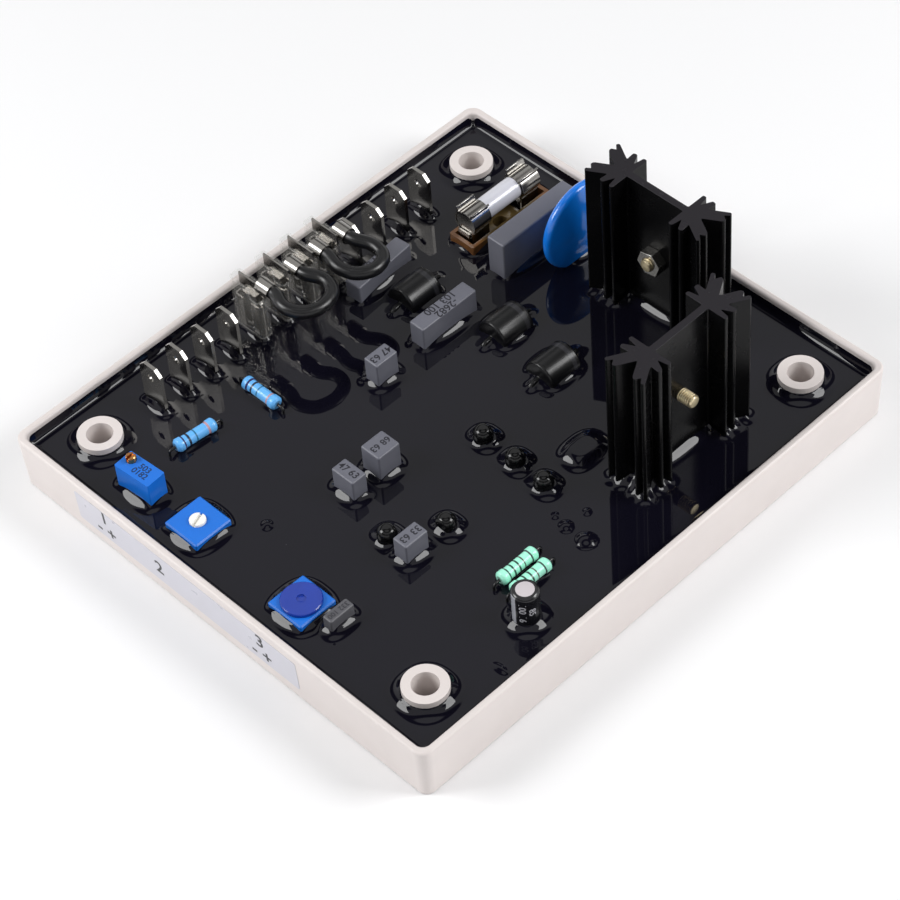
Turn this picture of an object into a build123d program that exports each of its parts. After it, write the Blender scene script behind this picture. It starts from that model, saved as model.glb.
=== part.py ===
from build123d import *
import os
from math import atan2, cos, degrees, floor, hypot, pi, radians, sin, tan

os.makedirs("parts", exist_ok=True)

# Automatic voltage regulator of a generator, in millimetres.
# A shallow moulded tray holds a circuit board under black resin, and the taller components stand out of it.
# The origin is the middle of the tray's underside, +Z is up and +Y runs along the longer side.
# A component's spot is its place from the middle of the tray towards its edges, from -1 to 1 each way.

# Tray
tray_width = 120.0
tray_length = 134.0
tray_height = 13.4
tray_wall = 1.7
tray_floor = 2.0
wall_draft = 2.3
corner_radius = 2.2
rim_round = 0.6

# Fixing bosses
boss_inset_x = 12.5
boss_inset_y = 13.0
boss_diameter = 9.6
boss_hole = 5.6
boss_drop = 0.55
boss_round = 0.7
boss_shoulder = 1.6

# Board and resin
board_thickness = 1.6
board_standoff = 3.1
board_edge_gap = 0.6
board_boss_gap = 0.2
resin_drop = 3.4

# Label on the front wall
label_length = 65.6
label_height = 8.4
label_corner = 0.5
label_thickness = 0.07
label_low = 2.9
label_shift = -8.0

# Component leads
lead_side = 0.6
lead_stub = 1.2
lead_bite = 0.5

# Blade terminals
tab_pitch = 7.0
tab_width = 6.35
tab_thickness = 0.8
tab_rise = 15.6
tab_tip_chamfer = 1.5
tab_hole = 2.0
tab_hole_drop = 3.5
tab_leg_width = 1.3
tab_leg_spread = 5.08
tab_row_end_gap = 8.6
tab_row_spot = (-0.7733, -0.0164)

# Flag receptacles on four of the blades, with their sleeves
first_flag = 4
flag_sheet = 0.4
flag_play = 0.55
flag_side_play = 0.28
flag_corner = 1.02
flag_inner_corner = 0.25
flag_seam = 2.6
flag_low = 5.7
flag_box_height = 8.4
flag_throat = 1.2
flag_top = 18.9
barrel_rise = 18.3
barrel_wall = 0.4
barrel_length = 3.6
barrel_reach = 5.6
barrel_offsets = (1.5, 2.6, 2.6, 2.4)
sleeve_gap = 0.15
sleeve_wall = 0.4
sleeve_corner = 0.45
sleeve_low = 5.5
sleeve_height = 13.6

# Looped jumper wires, whose points are measured from the first blade at the barrels' height
wire_diameter = 3.0
wire_entry = 1.5
wire_straight = 1.2
wire_bend_share = 0.45
front_loop = (
    (10.2, 0.0, -0.2),
    (14.4, 1.7, -0.5),
    (16.0, 6.2, -0.8),
    (14.5, 10.6, -0.7),
    (10.4, 11.8, -0.3),
)
rear_loop = (
    (10.0, 1.6, -0.3),
    (14.1, 2.9, -0.7),
    (16.2, 6.8, -1.0),
    (15.0, 10.9, -0.9),
    (10.8, 11.6, -0.4),
)

# Fuse and its holder
fuse_spot = (-0.5350, 0.7000)
fuse_length = 20.0
fuse_cap_diameter = 5.2
fuse_cap_length = 5.3
fuse_cap_wall = 0.3
fuse_tube_diameter = 5.0
fuse_axis_rise = 9.6
fuse_base_width = 7.3
fuse_base_length = 23.8
fuse_base_height = 5.8
fuse_base_wall = 0.9
fuse_base_floor = 2.9
fuse_base_hole = 3.4
fuse_base_corner = 0.5
fuse_base_shift = 0.4
clip_sheet = 0.45
clip_length = 5.2
clip_mouth = 40.0
clip_throat = 42.0
clip_lip = 1.0
clip_lip_lean = 0.45
clip_stop_gap = 0.15
clip_stop_height = 4.4
clip_stop_side = 0.3
clip_pin = 1.6
clip_pin_gap = 0.05

# Suppression capacitor and varistor
suppressor_size = (4.8, 23.1, 13.5)
suppressor_spot = (-0.3400, 0.6858)
varistor_radius = 10.8
varistor_thickness = 5.0
varistor_rim = 1.2
varistor_rim_depth = 1.02
varistor_spot = (-0.2000, 0.7687)
varistor_rise = 12.1
varistor_pitch = 7.5
varistor_lead = 0.8
varistor_lead_bite = 2.0

# Star-fin heat sinks
sink_length = 31.6
sink_depth = 10.6
sink_height = 38.1
sink_core_inset = 4.5
sink_core_radius = 1.7
sink_fin = 1.1
sink_web = 1.6
sink_fin_rays = ((3.95, 4.75), (3.95, 2.3), (-0.2, 4.8), (-3.2, 4.7))
sink_pin = 2.4
rear_sink_spot = (0.2083, 0.7388)
front_sink_spot = (0.6867, 0.3612)
device_hole_rise = 19.6

# Power devices, screws and nut
device_width = 10.0
device_tab_height = 15.5
device_tab = 1.3
device_body_height = 9.2
device_body_depth = 4.5
device_bevel = 0.4
device_hole = 3.6
device_hole_drop = 2.8
device_lead = 0.8
device_lead_depth = 2.2
device_lead_pitch = 2.54
screw_diameter = 3.0
screw_head = 5.5
screw_head_height = 2.2
screw_head_round = 0.7
recess_span = 2.6
recess_width = 0.7
recess_depth = 1.2
screw_gap = 0.15
nut_flats = 5.5
nut_thickness = 2.4
nut_turn = 12.0
rear_screw_stub = 0.9
front_screw_stub = 3.4

# Boxed film capacitors: spot, size, yaw
film_edge = 0.4
film_bevel = 0.25
film_lead_inset = 1.0
film_capacitors = (
    ((-0.6433, 0.2537), (4.2, 16.6, 8.3), 4.8),
    ((-0.3025, 0.2433), (4.1, 15.8, 9.6), 0.0),
    ((-0.2892, -0.0388), (3.9, 6.0, 10.2), 0.0),
    ((0.0033, -0.4261), (6.2, 3.9, 9.4), 0.0),
    ((0.0108, -0.3000), (5.3, 6.0, 10.6), 0.0),
    ((0.3500, -0.4739), (3.8, 6.1, 9.2), 0.0),
    ((0.3825, -0.7963), (2.5, 6.3, 7.1), 0.0),
)

# Axial rectifiers
diode_diameter = 8.0
diode_length = 8.8
diode_edge = 0.35
diode_lead = 1.3
diode_lead_reach = 2.6
diode_lead_bend = 1.2
diode_spots = (
    (-0.4867, 0.2776),
    (-0.1317, 0.3642),
    (0.1250, 0.3373),
)

# Small transistors
transistor_radius = 2.4
transistor_flat = 1.5
transistor_height = 4.8
transistor_standoff = 2.5
transistor_lead = 0.45
transistor_pitch = 1.27
transistor_spots = (
    (0.1750, -0.0149),
    (0.3300, -0.0179),
    (0.4717, -0.0269),
    (0.2483, -0.4851),
    (0.3583, -0.3373),
)

# Four-leg optocoupler
opto_size = (4.6, 6.5, 3.5)
opto_standoff = 0.7
opto_spot = (0.4600, 0.1552)
opto_bevel = 0.35
opto_leg_pitch = 2.54
opto_leg = 0.5
opto_leg_gap = 0.4
opto_leg_rise = 1.7

# Axial resistors: spot, yaw
resistor_length = 10.0
resistor_end = 3.1
resistor_waist = 2.7
resistor_cap_length = 2.1
resistor_end_face = 1.86
resistor_end_round = 0.5
resistor_step = 0.4
resistor_rise = 4.9
resistor_lead = 0.6
resistor_lead_reach = 1.6
resistor_lead_bend = 0.8
resistor_spots = {
    "blue_resistor_1": ((-0.5567, -0.6045), 84.0),
    "blue_resistor_2": ((-0.5317, -0.3493), 0.0),
    "green_resistor_1": ((0.6583, -0.3119), 90.0),
    "green_resistor_2": ((0.7233, -0.3164), 90.0),
}

# Electrolytic capacitor
can_diameter = 5.8
can_height = 12.0
can_standoff = 0.5
can_groove = 0.25
can_groove_rise = 1.3
can_groove_half = 0.3
can_shoulder = 0.5
can_lead_pitch = 2.0
can_vent = 3.7
can_vent_depth = 0.25
can_spot = (0.8200, -0.4224)

# Multi-turn voltage trimmer
multi_size = (9.53, 4.83, 10.0)
multi_spot = (-0.5192, -0.8478)
multi_yaw = 4.0
multi_screw_spot = (-2.95, 0.75)
multi_screw = 2.2
multi_screw_rise = 1.3
multi_screw_depth = 1.6
multi_slot = 0.6
multi_edge = 0.25
multi_screw_bevel = 0.2
slot_depth = 0.8
trimmer_lead_pitch = 2.54

# Single-turn trimmers
single_side = 9.53
single_corner = 0.4
single_edge = 0.3
single_lead_reach = 2.5
stability_height = 5.5
stability_spot = (-0.2567, -0.8328)
stability_rotor_diameter = 3.5
stability_rotor_rise = 0.6
stability_rotor_bevel = 0.15
stability_slot = 0.7
stability_slot_yaw = 20.0
frequency_height = 5.3
frequency_spot = (0.2475, -0.8313)
frequency_knob_diameter = 8.6
frequency_knob_height = 0.75
frequency_knob_bevel = 0.2
frequency_dimple = 2.0
frequency_dimple_depth = 0.3
frequency_stem = 3.4
rotor_depth = 1.8
rotor_foot = 0.08
turning_gap = 0.05

# Levels and edges that follow from the sizes above
left_edge = -tray_width / 2
right_edge = tray_width / 2
front_edge = -tray_length / 2
back_edge = tray_length / 2
board_bottom = tray_floor + board_standoff
board_top = board_bottom + board_thickness
resin_level = tray_height - resin_drop
boss_x = right_edge - boss_inset_x
boss_y = back_edge - boss_inset_y
draft_run = tan(radians(wall_draft))
lead_depth = board_thickness + lead_stub

potted = []


def keep(builder, name):
    """Label a finished piece and write it."""
    builder.part.label = name
    export_step(builder.part, f"parts/{name}.step")
    return builder.part


def pot(builder, name):
    """Keep a piece that stands in the resin."""
    potted.append(keep(builder, name))


def on_tray(spot):
    """The place of a component's spot, in millimetres from the middle of the tray."""
    return spot[0] * tray_width / 2, spot[1] * tray_length / 2


def board_plane(x, y, yaw=0.0):
    """A plane on the board's upper face, turned about the vertical."""
    return Plane(origin=(x, y, board_top), x_dir=(cos(radians(yaw)), sin(radians(yaw)), 0), z_dir=(0, 0, 1))


def lead_pins(seat, spots, rise, side=lead_side):
    """Square leads from under the board up into a body."""
    with BuildPart() as pins:
        with BuildSketch(seat.offset(-lead_depth)):
            with Locations(*spots):
                Rectangle(side, side)
        extrude(amount=lead_depth + rise)
    return pins.part


def cavity_size(height):
    """The inner width and length of the drafted tray at a height."""
    shrink = 2 * (tray_wall + (tray_height - height) * draft_run)
    return tray_width - shrink, tray_length - shrink


# Tray: a drafted shell with four bored bosses that have a shoulder for the board
base_width = tray_width - 2 * tray_height * draft_run
base_length = tray_length - 2 * tray_height * draft_run
boss_spots = [(side * boss_x, end * boss_y) for side in (-1, 1) for end in (-1, 1)]

with BuildPart() as tray:
    with BuildSketch():
        RectangleRounded(base_width, base_length, corner_radius)
    extrude(amount=tray_height, taper=-wall_draft)
    with BuildSketch(Plane.XY.offset(tray_floor)):
        RectangleRounded(*cavity_size(tray_floor), corner_radius - tray_wall / 2)
    extrude(amount=tray_height - tray_floor, taper=-wall_draft, mode=Mode.SUBTRACT)
    rim_edges = tray.faces().sort_by(Axis.Z)[-1].outer_wire().edges()
    fillet(rim_edges, radius=rim_round)
    with BuildSketch(Plane.XY.offset(tray_floor)):
        with Locations(*boss_spots):
            Circle(boss_diameter / 2 + boss_shoulder)
    extrude(amount=board_standoff)
    with BuildSketch(Plane.XY.offset(board_bottom)):
        with Locations(*boss_spots):
            Circle(boss_diameter / 2)
    extrude(amount=tray_height - boss_drop - board_bottom)
    boss_rims = tray.edges().filter_by(GeomType.CIRCLE).group_by(Axis.Z)[-1]
    fillet(boss_rims, radius=boss_round)
    with BuildSketch():
        with Locations(*boss_spots):
            Circle(boss_hole / 2)
    extrude(amount=tray_height, mode=Mode.SUBTRACT)
keep(tray, "tray")

# Label: a thin sticker that lies on the drafted front wall
label_foot = front_edge + tray_height * draft_run
label_plane = Plane(
    origin=(label_shift, label_foot, 0),
    x_dir=(1, 0, 0),
    z_dir=(0, -cos(radians(wall_draft)), -sin(radians(wall_draft))),
)
with BuildPart() as adjustment_label:
    with BuildSketch(label_plane):
        with Locations((0, label_low + label_height / 2)):
            RectangleRounded(label_length, label_height, label_corner)
    extrude(amount=label_thickness)
keep(adjustment_label, "adjustment_label")

# Blade terminals: upright blades on two legs each, as many as fit between the bosses
tab_x, tab_row_y = on_tray(tab_row_spot)
tab_row_room = 2 * (boss_y - boss_diameter / 2 - boss_shoulder - tab_row_end_gap) - tab_thickness
tab_count = floor(tab_row_room / tab_pitch) + 1
tab_ys = [tab_row_y + tab_pitch * (k - (tab_count - 1) / 2) for k in range(tab_count)]

with BuildPart() as terminal_tabs:
    for tab_y in tab_ys:
        blade_plane = Plane(origin=(tab_x, tab_y, board_top), x_dir=(1, 0, 0), z_dir=(0, -1, 0))
        with BuildSketch(blade_plane) as blade:
            with Locations((0, tab_rise / 2)):
                Rectangle(tab_width, tab_rise)
            chamfer(blade.vertices().group_by(Axis.Y)[-1], length=tab_tip_chamfer)
            with Locations((0, tab_rise - tab_hole_drop)):
                Circle(tab_hole / 2, mode=Mode.SUBTRACT)
            with Locations((-tab_leg_spread / 2, -lead_depth / 2), (tab_leg_spread / 2, -lead_depth / 2)):
                Rectangle(tab_leg_width, lead_depth)
        extrude(amount=tab_thickness / 2, both=True)
pot(terminal_tabs, "terminal_tabs")

# Flag receptacles: a rolled box round the blade, a flag above it and a barrel that points inwards
flag_inside_width = tab_width + 2 * flag_side_play
flag_inside_depth = tab_thickness + flag_play
flag_width = flag_inside_width + 2 * flag_sheet
flag_depth = flag_inside_depth + 2 * flag_sheet
flag_centre = tab_thickness / 2 + flag_sheet - flag_depth / 2
wire_radius = wire_diameter / 2
barrel_radius = wire_radius + barrel_wall
barrel_start = tab_x + barrel_reach - barrel_length
barrel_z = board_top + barrel_rise
flag_end = tab_x + (flag_width - flag_depth) / 2 - flag_sheet
flag_plate_z = board_top + flag_low + flag_box_height + flag_throat
strap_reach = barrel_start + 2 * flag_sheet - flag_end
sleeve_width = flag_width + 2 * sleeve_gap
sleeve_depth = flag_depth + 2 * sleeve_gap
sleeve_outer_width = sleeve_width + 2 * sleeve_wall
sleeve_outer_depth = sleeve_depth + 2 * sleeve_wall

for number, barrel_offset in enumerate(barrel_offsets):
    tab_y = tab_ys[first_flag + number]
    box_y = tab_y + flag_centre
    with BuildPart() as receptacle:
        with BuildSketch(Plane((tab_x, box_y, board_top + flag_low))):
            RectangleRounded(flag_width, flag_depth, flag_corner)
            RectangleRounded(flag_inside_width, flag_inside_depth, flag_inner_corner, mode=Mode.SUBTRACT)
            with Locations((0, -flag_depth / 2)):
                Rectangle(flag_seam, flag_depth, mode=Mode.SUBTRACT)
        extrude(amount=flag_box_height)
        with BuildSketch(Plane((tab_x, tab_y + tab_thickness / 2 + flag_sheet / 2, board_top + flag_low))):
            Rectangle(flag_width - flag_depth, flag_sheet)
        extrude(amount=flag_top - flag_low)
        with BuildSketch(Plane((tab_x, tab_y + tab_thickness / 2 + flag_sheet / 2, flag_plate_z))):
            Rectangle(flag_width, flag_sheet)
        extrude(amount=board_top + flag_top - flag_plate_z)
        with BuildSketch(Plane(origin=(barrel_start, tab_y + barrel_offset, barrel_z), z_dir=(1, 0, 0))):
            Circle(barrel_radius)
        extrude(amount=barrel_length)
        with BuildSketch(Plane((0, 0, barrel_z - barrel_radius / 2))):
            with Locations((flag_end, tab_y + tab_thickness / 2)):
                Rectangle(strap_reach, barrel_offset - tab_thickness / 2, align=(Align.MIN, Align.MIN))
        extrude(amount=board_top + flag_top - barrel_z + barrel_radius / 2)
        with BuildSketch(Plane(origin=(barrel_start, tab_y + barrel_offset, barrel_z), z_dir=(1, 0, 0))):
            Circle(wire_radius)
        extrude(amount=barrel_length, mode=Mode.SUBTRACT)
    keep(receptacle, f"flag_receptacle_{number + 1}")

    with BuildPart() as sleeve:
        with BuildSketch(Plane((tab_x, box_y, board_top + sleeve_low))):
            RectangleRounded(sleeve_outer_width, sleeve_outer_depth, sleeve_corner + sleeve_wall)
            RectangleRounded(sleeve_width, sleeve_depth, sleeve_corner, mode=Mode.SUBTRACT)
        extrude(amount=sleeve_height)
        with BuildSketch(Plane((barrel_start - sleeve_gap, box_y, barrel_z - barrel_radius - sleeve_gap))):
            Rectangle(barrel_length + flag_width, flag_width, align=(Align.MIN, Align.CENTER))
        extrude(amount=sleeve_height, mode=Mode.SUBTRACT)
    keep(sleeve, f"receptacle_sleeve_{number + 1}")


def jumper(name, first, last, loop):
    """A wire of straight runs and tangent arcs from one barrel round to the next."""
    ends = []
    for number in (first, last):
        y = tab_ys[first_flag + number] + barrel_offsets[number]
        mouth = barrel_start + barrel_length
        ends.append([(mouth - wire_entry, y, barrel_z), (mouth + wire_straight, y, barrel_z)])
    first_blade = Vector(tab_x, tab_ys[first_flag + first], barrel_z)
    bends = [first_blade + Vector(*p) for p in loop]
    points = [Vector(*p) for p in ends[0]] + bends + [Vector(*p) for p in ends[1][::-1]]
    runs = [b - a for a, b in zip(points, points[1:])]
    radii = []
    for before, after in zip(runs, runs[1:]):
        half_turn = radians(before.get_angle(after)) / 2
        radii.append(wire_bend_share * min(before.length, after.length) / tan(half_turn))
    print(name, "radii", [round(radius, 1) for radius in radii])
    with BuildPart() as wire:
        with BuildLine():
            path = FilletPolyline(*points, radius=radii)
        with BuildSketch(Plane(origin=points[0], z_dir=runs[0])):
            Circle(wire_radius)
        sweep()
    expected = path.length * pi * wire_radius**2
    print(name, "volume", round(wire.part.volume, 1), "expected", round(expected, 1))
    keep(wire, name)


jumper("jumper_front", 0, 1, front_loop)
jumper("jumper_rear", 2, 3, rear_loop)

# Fuse holder: a moulded base with two sprung clips that grip the caps of the fuse
fuse_x, fuse_y = on_tray(fuse_spot)
fuse_z = board_top + fuse_axis_rise
fuse_base_x = fuse_x + fuse_base_shift
cap_radius = fuse_cap_diameter / 2
base_floor_z = board_top + fuse_base_floor
clip_pin_reach = fuse_length / 2 + clip_stop_gap - clip_length / 2

with BuildPart() as fuse_holder_base:
    with BuildSketch(board_plane(fuse_base_x, fuse_y)):
        RectangleRounded(fuse_base_width, fuse_base_length, fuse_base_corner)
    extrude(amount=fuse_base_height)
    with BuildSketch(Plane((fuse_base_x, fuse_y, base_floor_z))):
        Rectangle(fuse_base_width - 2 * fuse_base_wall, fuse_base_length - 2 * fuse_base_wall)
    extrude(amount=fuse_base_height, mode=Mode.SUBTRACT)
    with BuildSketch(board_plane(fuse_base_x, fuse_y)):
        Circle(fuse_base_hole / 2)
        with Locations((fuse_x - fuse_base_x, clip_pin_reach), (fuse_x - fuse_base_x, -clip_pin_reach)):
            Rectangle(clip_pin + 2 * clip_pin_gap, clip_sheet + 2 * clip_pin_gap)
    extrude(amount=fuse_base_height, mode=Mode.SUBTRACT)
pot(fuse_holder_base, "fuse_holder_base")

with BuildPart() as fuse_tube:
    with BuildSketch(Plane(origin=(fuse_x, fuse_y, fuse_z), z_dir=(0, 1, 0))):
        Circle(cap_radius - fuse_cap_wall)
    extrude(amount=fuse_length / 2 - fuse_cap_wall, both=True)
    with BuildSketch(Plane(origin=(fuse_x, fuse_y, fuse_z), z_dir=(0, 1, 0))):
        Circle(fuse_tube_diameter / 2)
    extrude(amount=fuse_length / 2 - fuse_cap_length, both=True)
keep(fuse_tube, "fuse_tube")

with BuildPart() as fuse_caps:
    for side in (-1, 1):
        cap_mouth = fuse_y + side * (fuse_length / 2 - fuse_cap_length)
        with BuildSketch(Plane(origin=(fuse_x, cap_mouth, fuse_z), z_dir=(0, side, 0))):
            Circle(cap_radius)
        extrude(amount=fuse_cap_length)
        with BuildSketch(Plane(origin=(fuse_x, cap_mouth, fuse_z), z_dir=(0, side, 0))):
            Circle(cap_radius - fuse_cap_wall)
        extrude(amount=fuse_cap_length - fuse_cap_wall, mode=Mode.SUBTRACT)
keep(fuse_caps, "fuse_caps")


def fuse_clip(name, side):
    """A clip of bent sheet: two blades that follow the cap, flared lips, a foot and an end stop."""
    end = fuse_y + side * (fuse_length / 2 + clip_stop_gap)
    plane = Plane(origin=(fuse_x, end, fuse_z), x_dir=(1, 0, 0), z_dir=(0, -side, 0))
    up = plane.y_dir.Z
    outer = cap_radius + clip_sheet
    middle = cap_radius + clip_sheet / 2
    floor_drop = fuse_z - base_floor_z
    throat_x = middle * sin(radians(clip_throat))
    throat_z = middle * cos(radians(clip_throat))
    mouth_x = middle * sin(radians(clip_mouth))
    mouth_z = middle * cos(radians(clip_mouth))
    leg_low = clip_sheet / 2 - floor_drop
    stop_width = 2 * (throat_x - clip_stop_side)
    with BuildPart() as clip:
        with BuildSketch(plane) as section:
            Circle(outer)
            Circle(cap_radius, mode=Mode.SUBTRACT)
            with BuildLine():
                Polyline(
                    (0, 0),
                    (-2 * mouth_x, 2 * up * mouth_z),
                    (2 * mouth_x, 2 * up * mouth_z),
                    close=True,
                )
            make_face(mode=Mode.SUBTRACT)
            with BuildLine():
                Polyline(
                    (0, 0),
                    (-2 * throat_x, -2 * up * throat_z),
                    (2 * throat_x, -2 * up * throat_z),
                    close=True,
                )
            make_face(mode=Mode.SUBTRACT)
            for hand in (-1, 1):
                with Locations((hand * throat_x, up * (leg_low - throat_z) / 2)):
                    Rectangle(clip_sheet, clip_sheet - throat_z - leg_low)
                lip_x = mouth_x + clip_lip * clip_lip_lean
                lip_z = mouth_z + clip_lip
                lean = degrees(atan2(up * (lip_z - mouth_z), hand * (lip_x - mouth_x)))
                with Locations((hand * (mouth_x + lip_x) / 2, up * (mouth_z + lip_z) / 2)):
                    SlotCenterToCenter(hypot(lip_x - mouth_x, lip_z - mouth_z), clip_sheet, rotation=lean)
            with Locations((0, up * leg_low)):
                Rectangle(2 * throat_x + clip_sheet, clip_sheet)
            Circle(cap_radius, mode=Mode.SUBTRACT)
        extrude(amount=clip_length)
        with BuildSketch(plane):
            with Locations((0, up * (clip_stop_height / 2 - floor_drop))):
                Rectangle(stop_width, clip_stop_height)
        extrude(amount=-clip_sheet)
        with BuildSketch(plane):
            with Locations((0, up * leg_low)):
                Rectangle(stop_width, clip_sheet)
        extrude(amount=clip_sheet, both=True)
        with BuildSketch(Plane((fuse_x, end - side * clip_length / 2, board_top - lead_depth))):
            Rectangle(clip_pin, clip_sheet)
        extrude(amount=base_floor_z - board_top + lead_depth + clip_sheet / 2)
    pot(clip, name)


fuse_clip("fuse_clip_front", -1)
fuse_clip("fuse_clip_rear", 1)


def boxed_capacitor(name, spot, size, yaw):
    """A box-cased capacitor on the board, with a lead near each end."""
    width, length, height = size
    seat = board_plane(*on_tray(spot), yaw)
    if length >= width:
        reach = length / 2 - film_lead_inset
        spots = [(0, -reach), (0, reach)]
    else:
        reach = width / 2 - film_lead_inset
        spots = [(-reach, 0), (reach, 0)]
    pins = lead_pins(seat, spots, lead_bite)
    with BuildPart() as capacitor:
        with BuildSketch(seat):
            RectangleRounded(width, length, film_edge)
        extrude(amount=height)
        chamfer(capacitor.faces().sort_by(Axis.Z)[-1].edges(), length=film_bevel)
        add(pins)
    pot(capacitor, name)


boxed_capacitor("suppression_capacitor", suppressor_spot, suppressor_size, 0.0)
for number, (spot, size, yaw) in enumerate(film_capacitors):
    boxed_capacitor(f"film_capacitor_{number + 1}", spot, size, yaw)

# Varistor: a coated disc, thickest in the middle, on two leads
varistor_x, varistor_y = on_tray(varistor_spot)
varistor_z = board_top + varistor_rise
rim_start = varistor_radius - varistor_rim_depth
varistor_leads = lead_pins(
    board_plane(varistor_x, varistor_y),
    [(0, -varistor_pitch / 2), (0, varistor_pitch / 2)],
    varistor_rise - varistor_radius + varistor_lead_bite,
    varistor_lead,
)
with BuildPart() as varistor:
    with BuildSketch(Plane((varistor_x, varistor_y, varistor_z))):
        with BuildLine():
            near = TangentArc((-varistor_thickness / 2, 0), (-varistor_rim, rim_start), tangent=(0, 1))
            rim = ThreePointArc(near @ 1, (0, varistor_radius), (varistor_rim, rim_start))
            far = TangentArc((varistor_thickness / 2, 0), rim @ 1, tangent=(0, 1))
            Line(far @ 0, near @ 0)
        make_face()
    revolve(axis=Axis((varistor_x, varistor_y, varistor_z), (1, 0, 0)))
    add(varistor_leads)
pot(varistor, "varistor")


def heat_sink(name, x, y, yaw):
    """An extruded heat sink: a star of eight fins, cut flush, at each end of a drilled web on two pins."""
    core = sink_length / 2 - sink_core_inset
    seat = board_plane(x, y, yaw)
    with BuildPart() as sink:
        with BuildSketch(seat):
            for end in (-1, 1):
                with Locations((end * core, 0)):
                    Circle(sink_core_radius)
                for along, across in sink_fin_rays:
                    for hand in (-1, 1):
                        direction = atan2(hand * across, end * along)
                        middle = Vector(sink_depth / 2, 0).rotate(Axis.Z, degrees(direction))
                        with Locations((end * core + middle.X, middle.Y)):
                            Rectangle(sink_depth, sink_fin, rotation=degrees(direction))
            Rectangle(sink_length, sink_depth, mode=Mode.INTERSECT)
            Rectangle(2 * core, sink_web)
        extrude(amount=sink_height)
        with BuildSketch(seat.offset(-lead_depth)):
            with Locations((-core, 0), (core, 0)):
                Circle(sink_pin / 2)
        extrude(amount=lead_depth)
        across_web = Plane(
            origin=seat.from_local_coords((0, 0, device_hole_rise)),
            x_dir=seat.x_dir,
            z_dir=-seat.y_dir,
        )
        with BuildSketch(across_web):
            Circle(screw_diameter / 2 + screw_gap)
        extrude(amount=sink_web, both=True, mode=Mode.SUBTRACT)
    pot(sink, name)


def power_device(name, screw_name, x, y, yaw, stub):
    """A flat-tab power device on the far face of a heat-sink web, and the screw that clamps it."""
    seat = board_plane(x, y, yaw)
    hole = seat.from_local_coords((0, sink_web / 2, device_hole_rise))
    face = Plane(origin=hole, x_dir=-seat.x_dir, z_dir=seat.y_dir)
    outward = Axis(hole, face.z_dir)
    tab_top = device_hole_drop
    body_top = tab_top - (device_tab_height - device_body_height)
    body_bottom = body_top - device_body_height
    lead_low = board_top - lead_depth - hole.Z
    lead_spots = [(k * device_lead_pitch, (body_bottom + lead_bite + lead_low) / 2) for k in (-1, 0, 1)]
    with BuildPart() as device:
        with BuildSketch(face):
            with Locations((0, tab_top - device_tab_height / 2)):
                Rectangle(device_width, device_tab_height)
            Circle(device_hole / 2, mode=Mode.SUBTRACT)
        extrude(amount=device_tab)
        with BuildSketch(face):
            with Locations((0, body_top - device_body_height / 2)):
                Rectangle(device_width, device_body_height)
        extrude(amount=device_body_depth)
        with BuildSketch(face.offset(device_lead_depth)):
            with Locations(*lead_spots):
                Rectangle(device_lead, body_bottom + lead_bite - lead_low)
        extrude(amount=device_lead / 2)
        chamfer(device.faces().sort_by(outward)[-1].edges(), length=device_bevel)
    pot(device, name)

    with BuildPart() as screw:
        with BuildSketch(face.offset(device_tab)):
            Circle(screw_head / 2)
        extrude(amount=screw_head_height)
        fillet(screw.edges().sort_by(outward)[-1], radius=screw_head_round)
        with BuildSketch(face.offset(device_tab + screw_head_height)):
            Rectangle(recess_span, recess_width)
            Rectangle(recess_width, recess_span)
        extrude(amount=-recess_depth, mode=Mode.SUBTRACT)
        with BuildSketch(face.offset(device_tab)):
            Circle(screw_diameter / 2)
        extrude(amount=-(device_tab + sink_web + stub))
    keep(screw, screw_name)


rear_sink_x, rear_sink_y = on_tray(rear_sink_spot)
front_sink_x, front_sink_y = on_tray(front_sink_spot)
heat_sink("heat_sink_rear", rear_sink_x, rear_sink_y, 0.0)
heat_sink("heat_sink_front", front_sink_x, front_sink_y, 90.0)
rear_stub = nut_thickness + rear_screw_stub
power_device("power_device_rear", "device_screw_rear", rear_sink_x, rear_sink_y, 0.0, rear_stub)
power_device("power_device_front", "device_screw_front", front_sink_x, front_sink_y, 90.0, front_screw_stub)

# Nut on the near face of the rear web
nut_face = Plane(
    origin=(rear_sink_x, rear_sink_y - sink_web / 2, board_top + device_hole_rise),
    x_dir=(1, 0, 0),
    z_dir=(0, -1, 0),
)
with BuildPart() as device_nut_rear:
    with BuildSketch(nut_face):
        RegularPolygon(nut_flats / 2, 6, major_radius=False, rotation=nut_turn)
        Circle(screw_diameter / 2, mode=Mode.SUBTRACT)
    extrude(amount=nut_thickness)
keep(device_nut_rear, "device_nut_rear")


def axial_wire(start, along, half_run, axis_z, bend, diameter):
    """A lead wire that comes up, runs along a body's axis and goes down again."""
    x, y = start
    low_z = board_top - lead_depth
    points = [
        (x - along.X * half_run, y - along.Y * half_run, low_z),
        (x - along.X * half_run, y - along.Y * half_run, axis_z),
        (x + along.X * half_run, y + along.Y * half_run, axis_z),
        (x + along.X * half_run, y + along.Y * half_run, low_z),
    ]
    with BuildPart() as wire:
        with BuildLine():
            FilletPolyline(*points, radius=bend)
        with BuildSketch(Plane(origin=points[0], z_dir=(0, 0, 1))):
            Circle(diameter / 2)
        sweep()
    return wire.part


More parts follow.
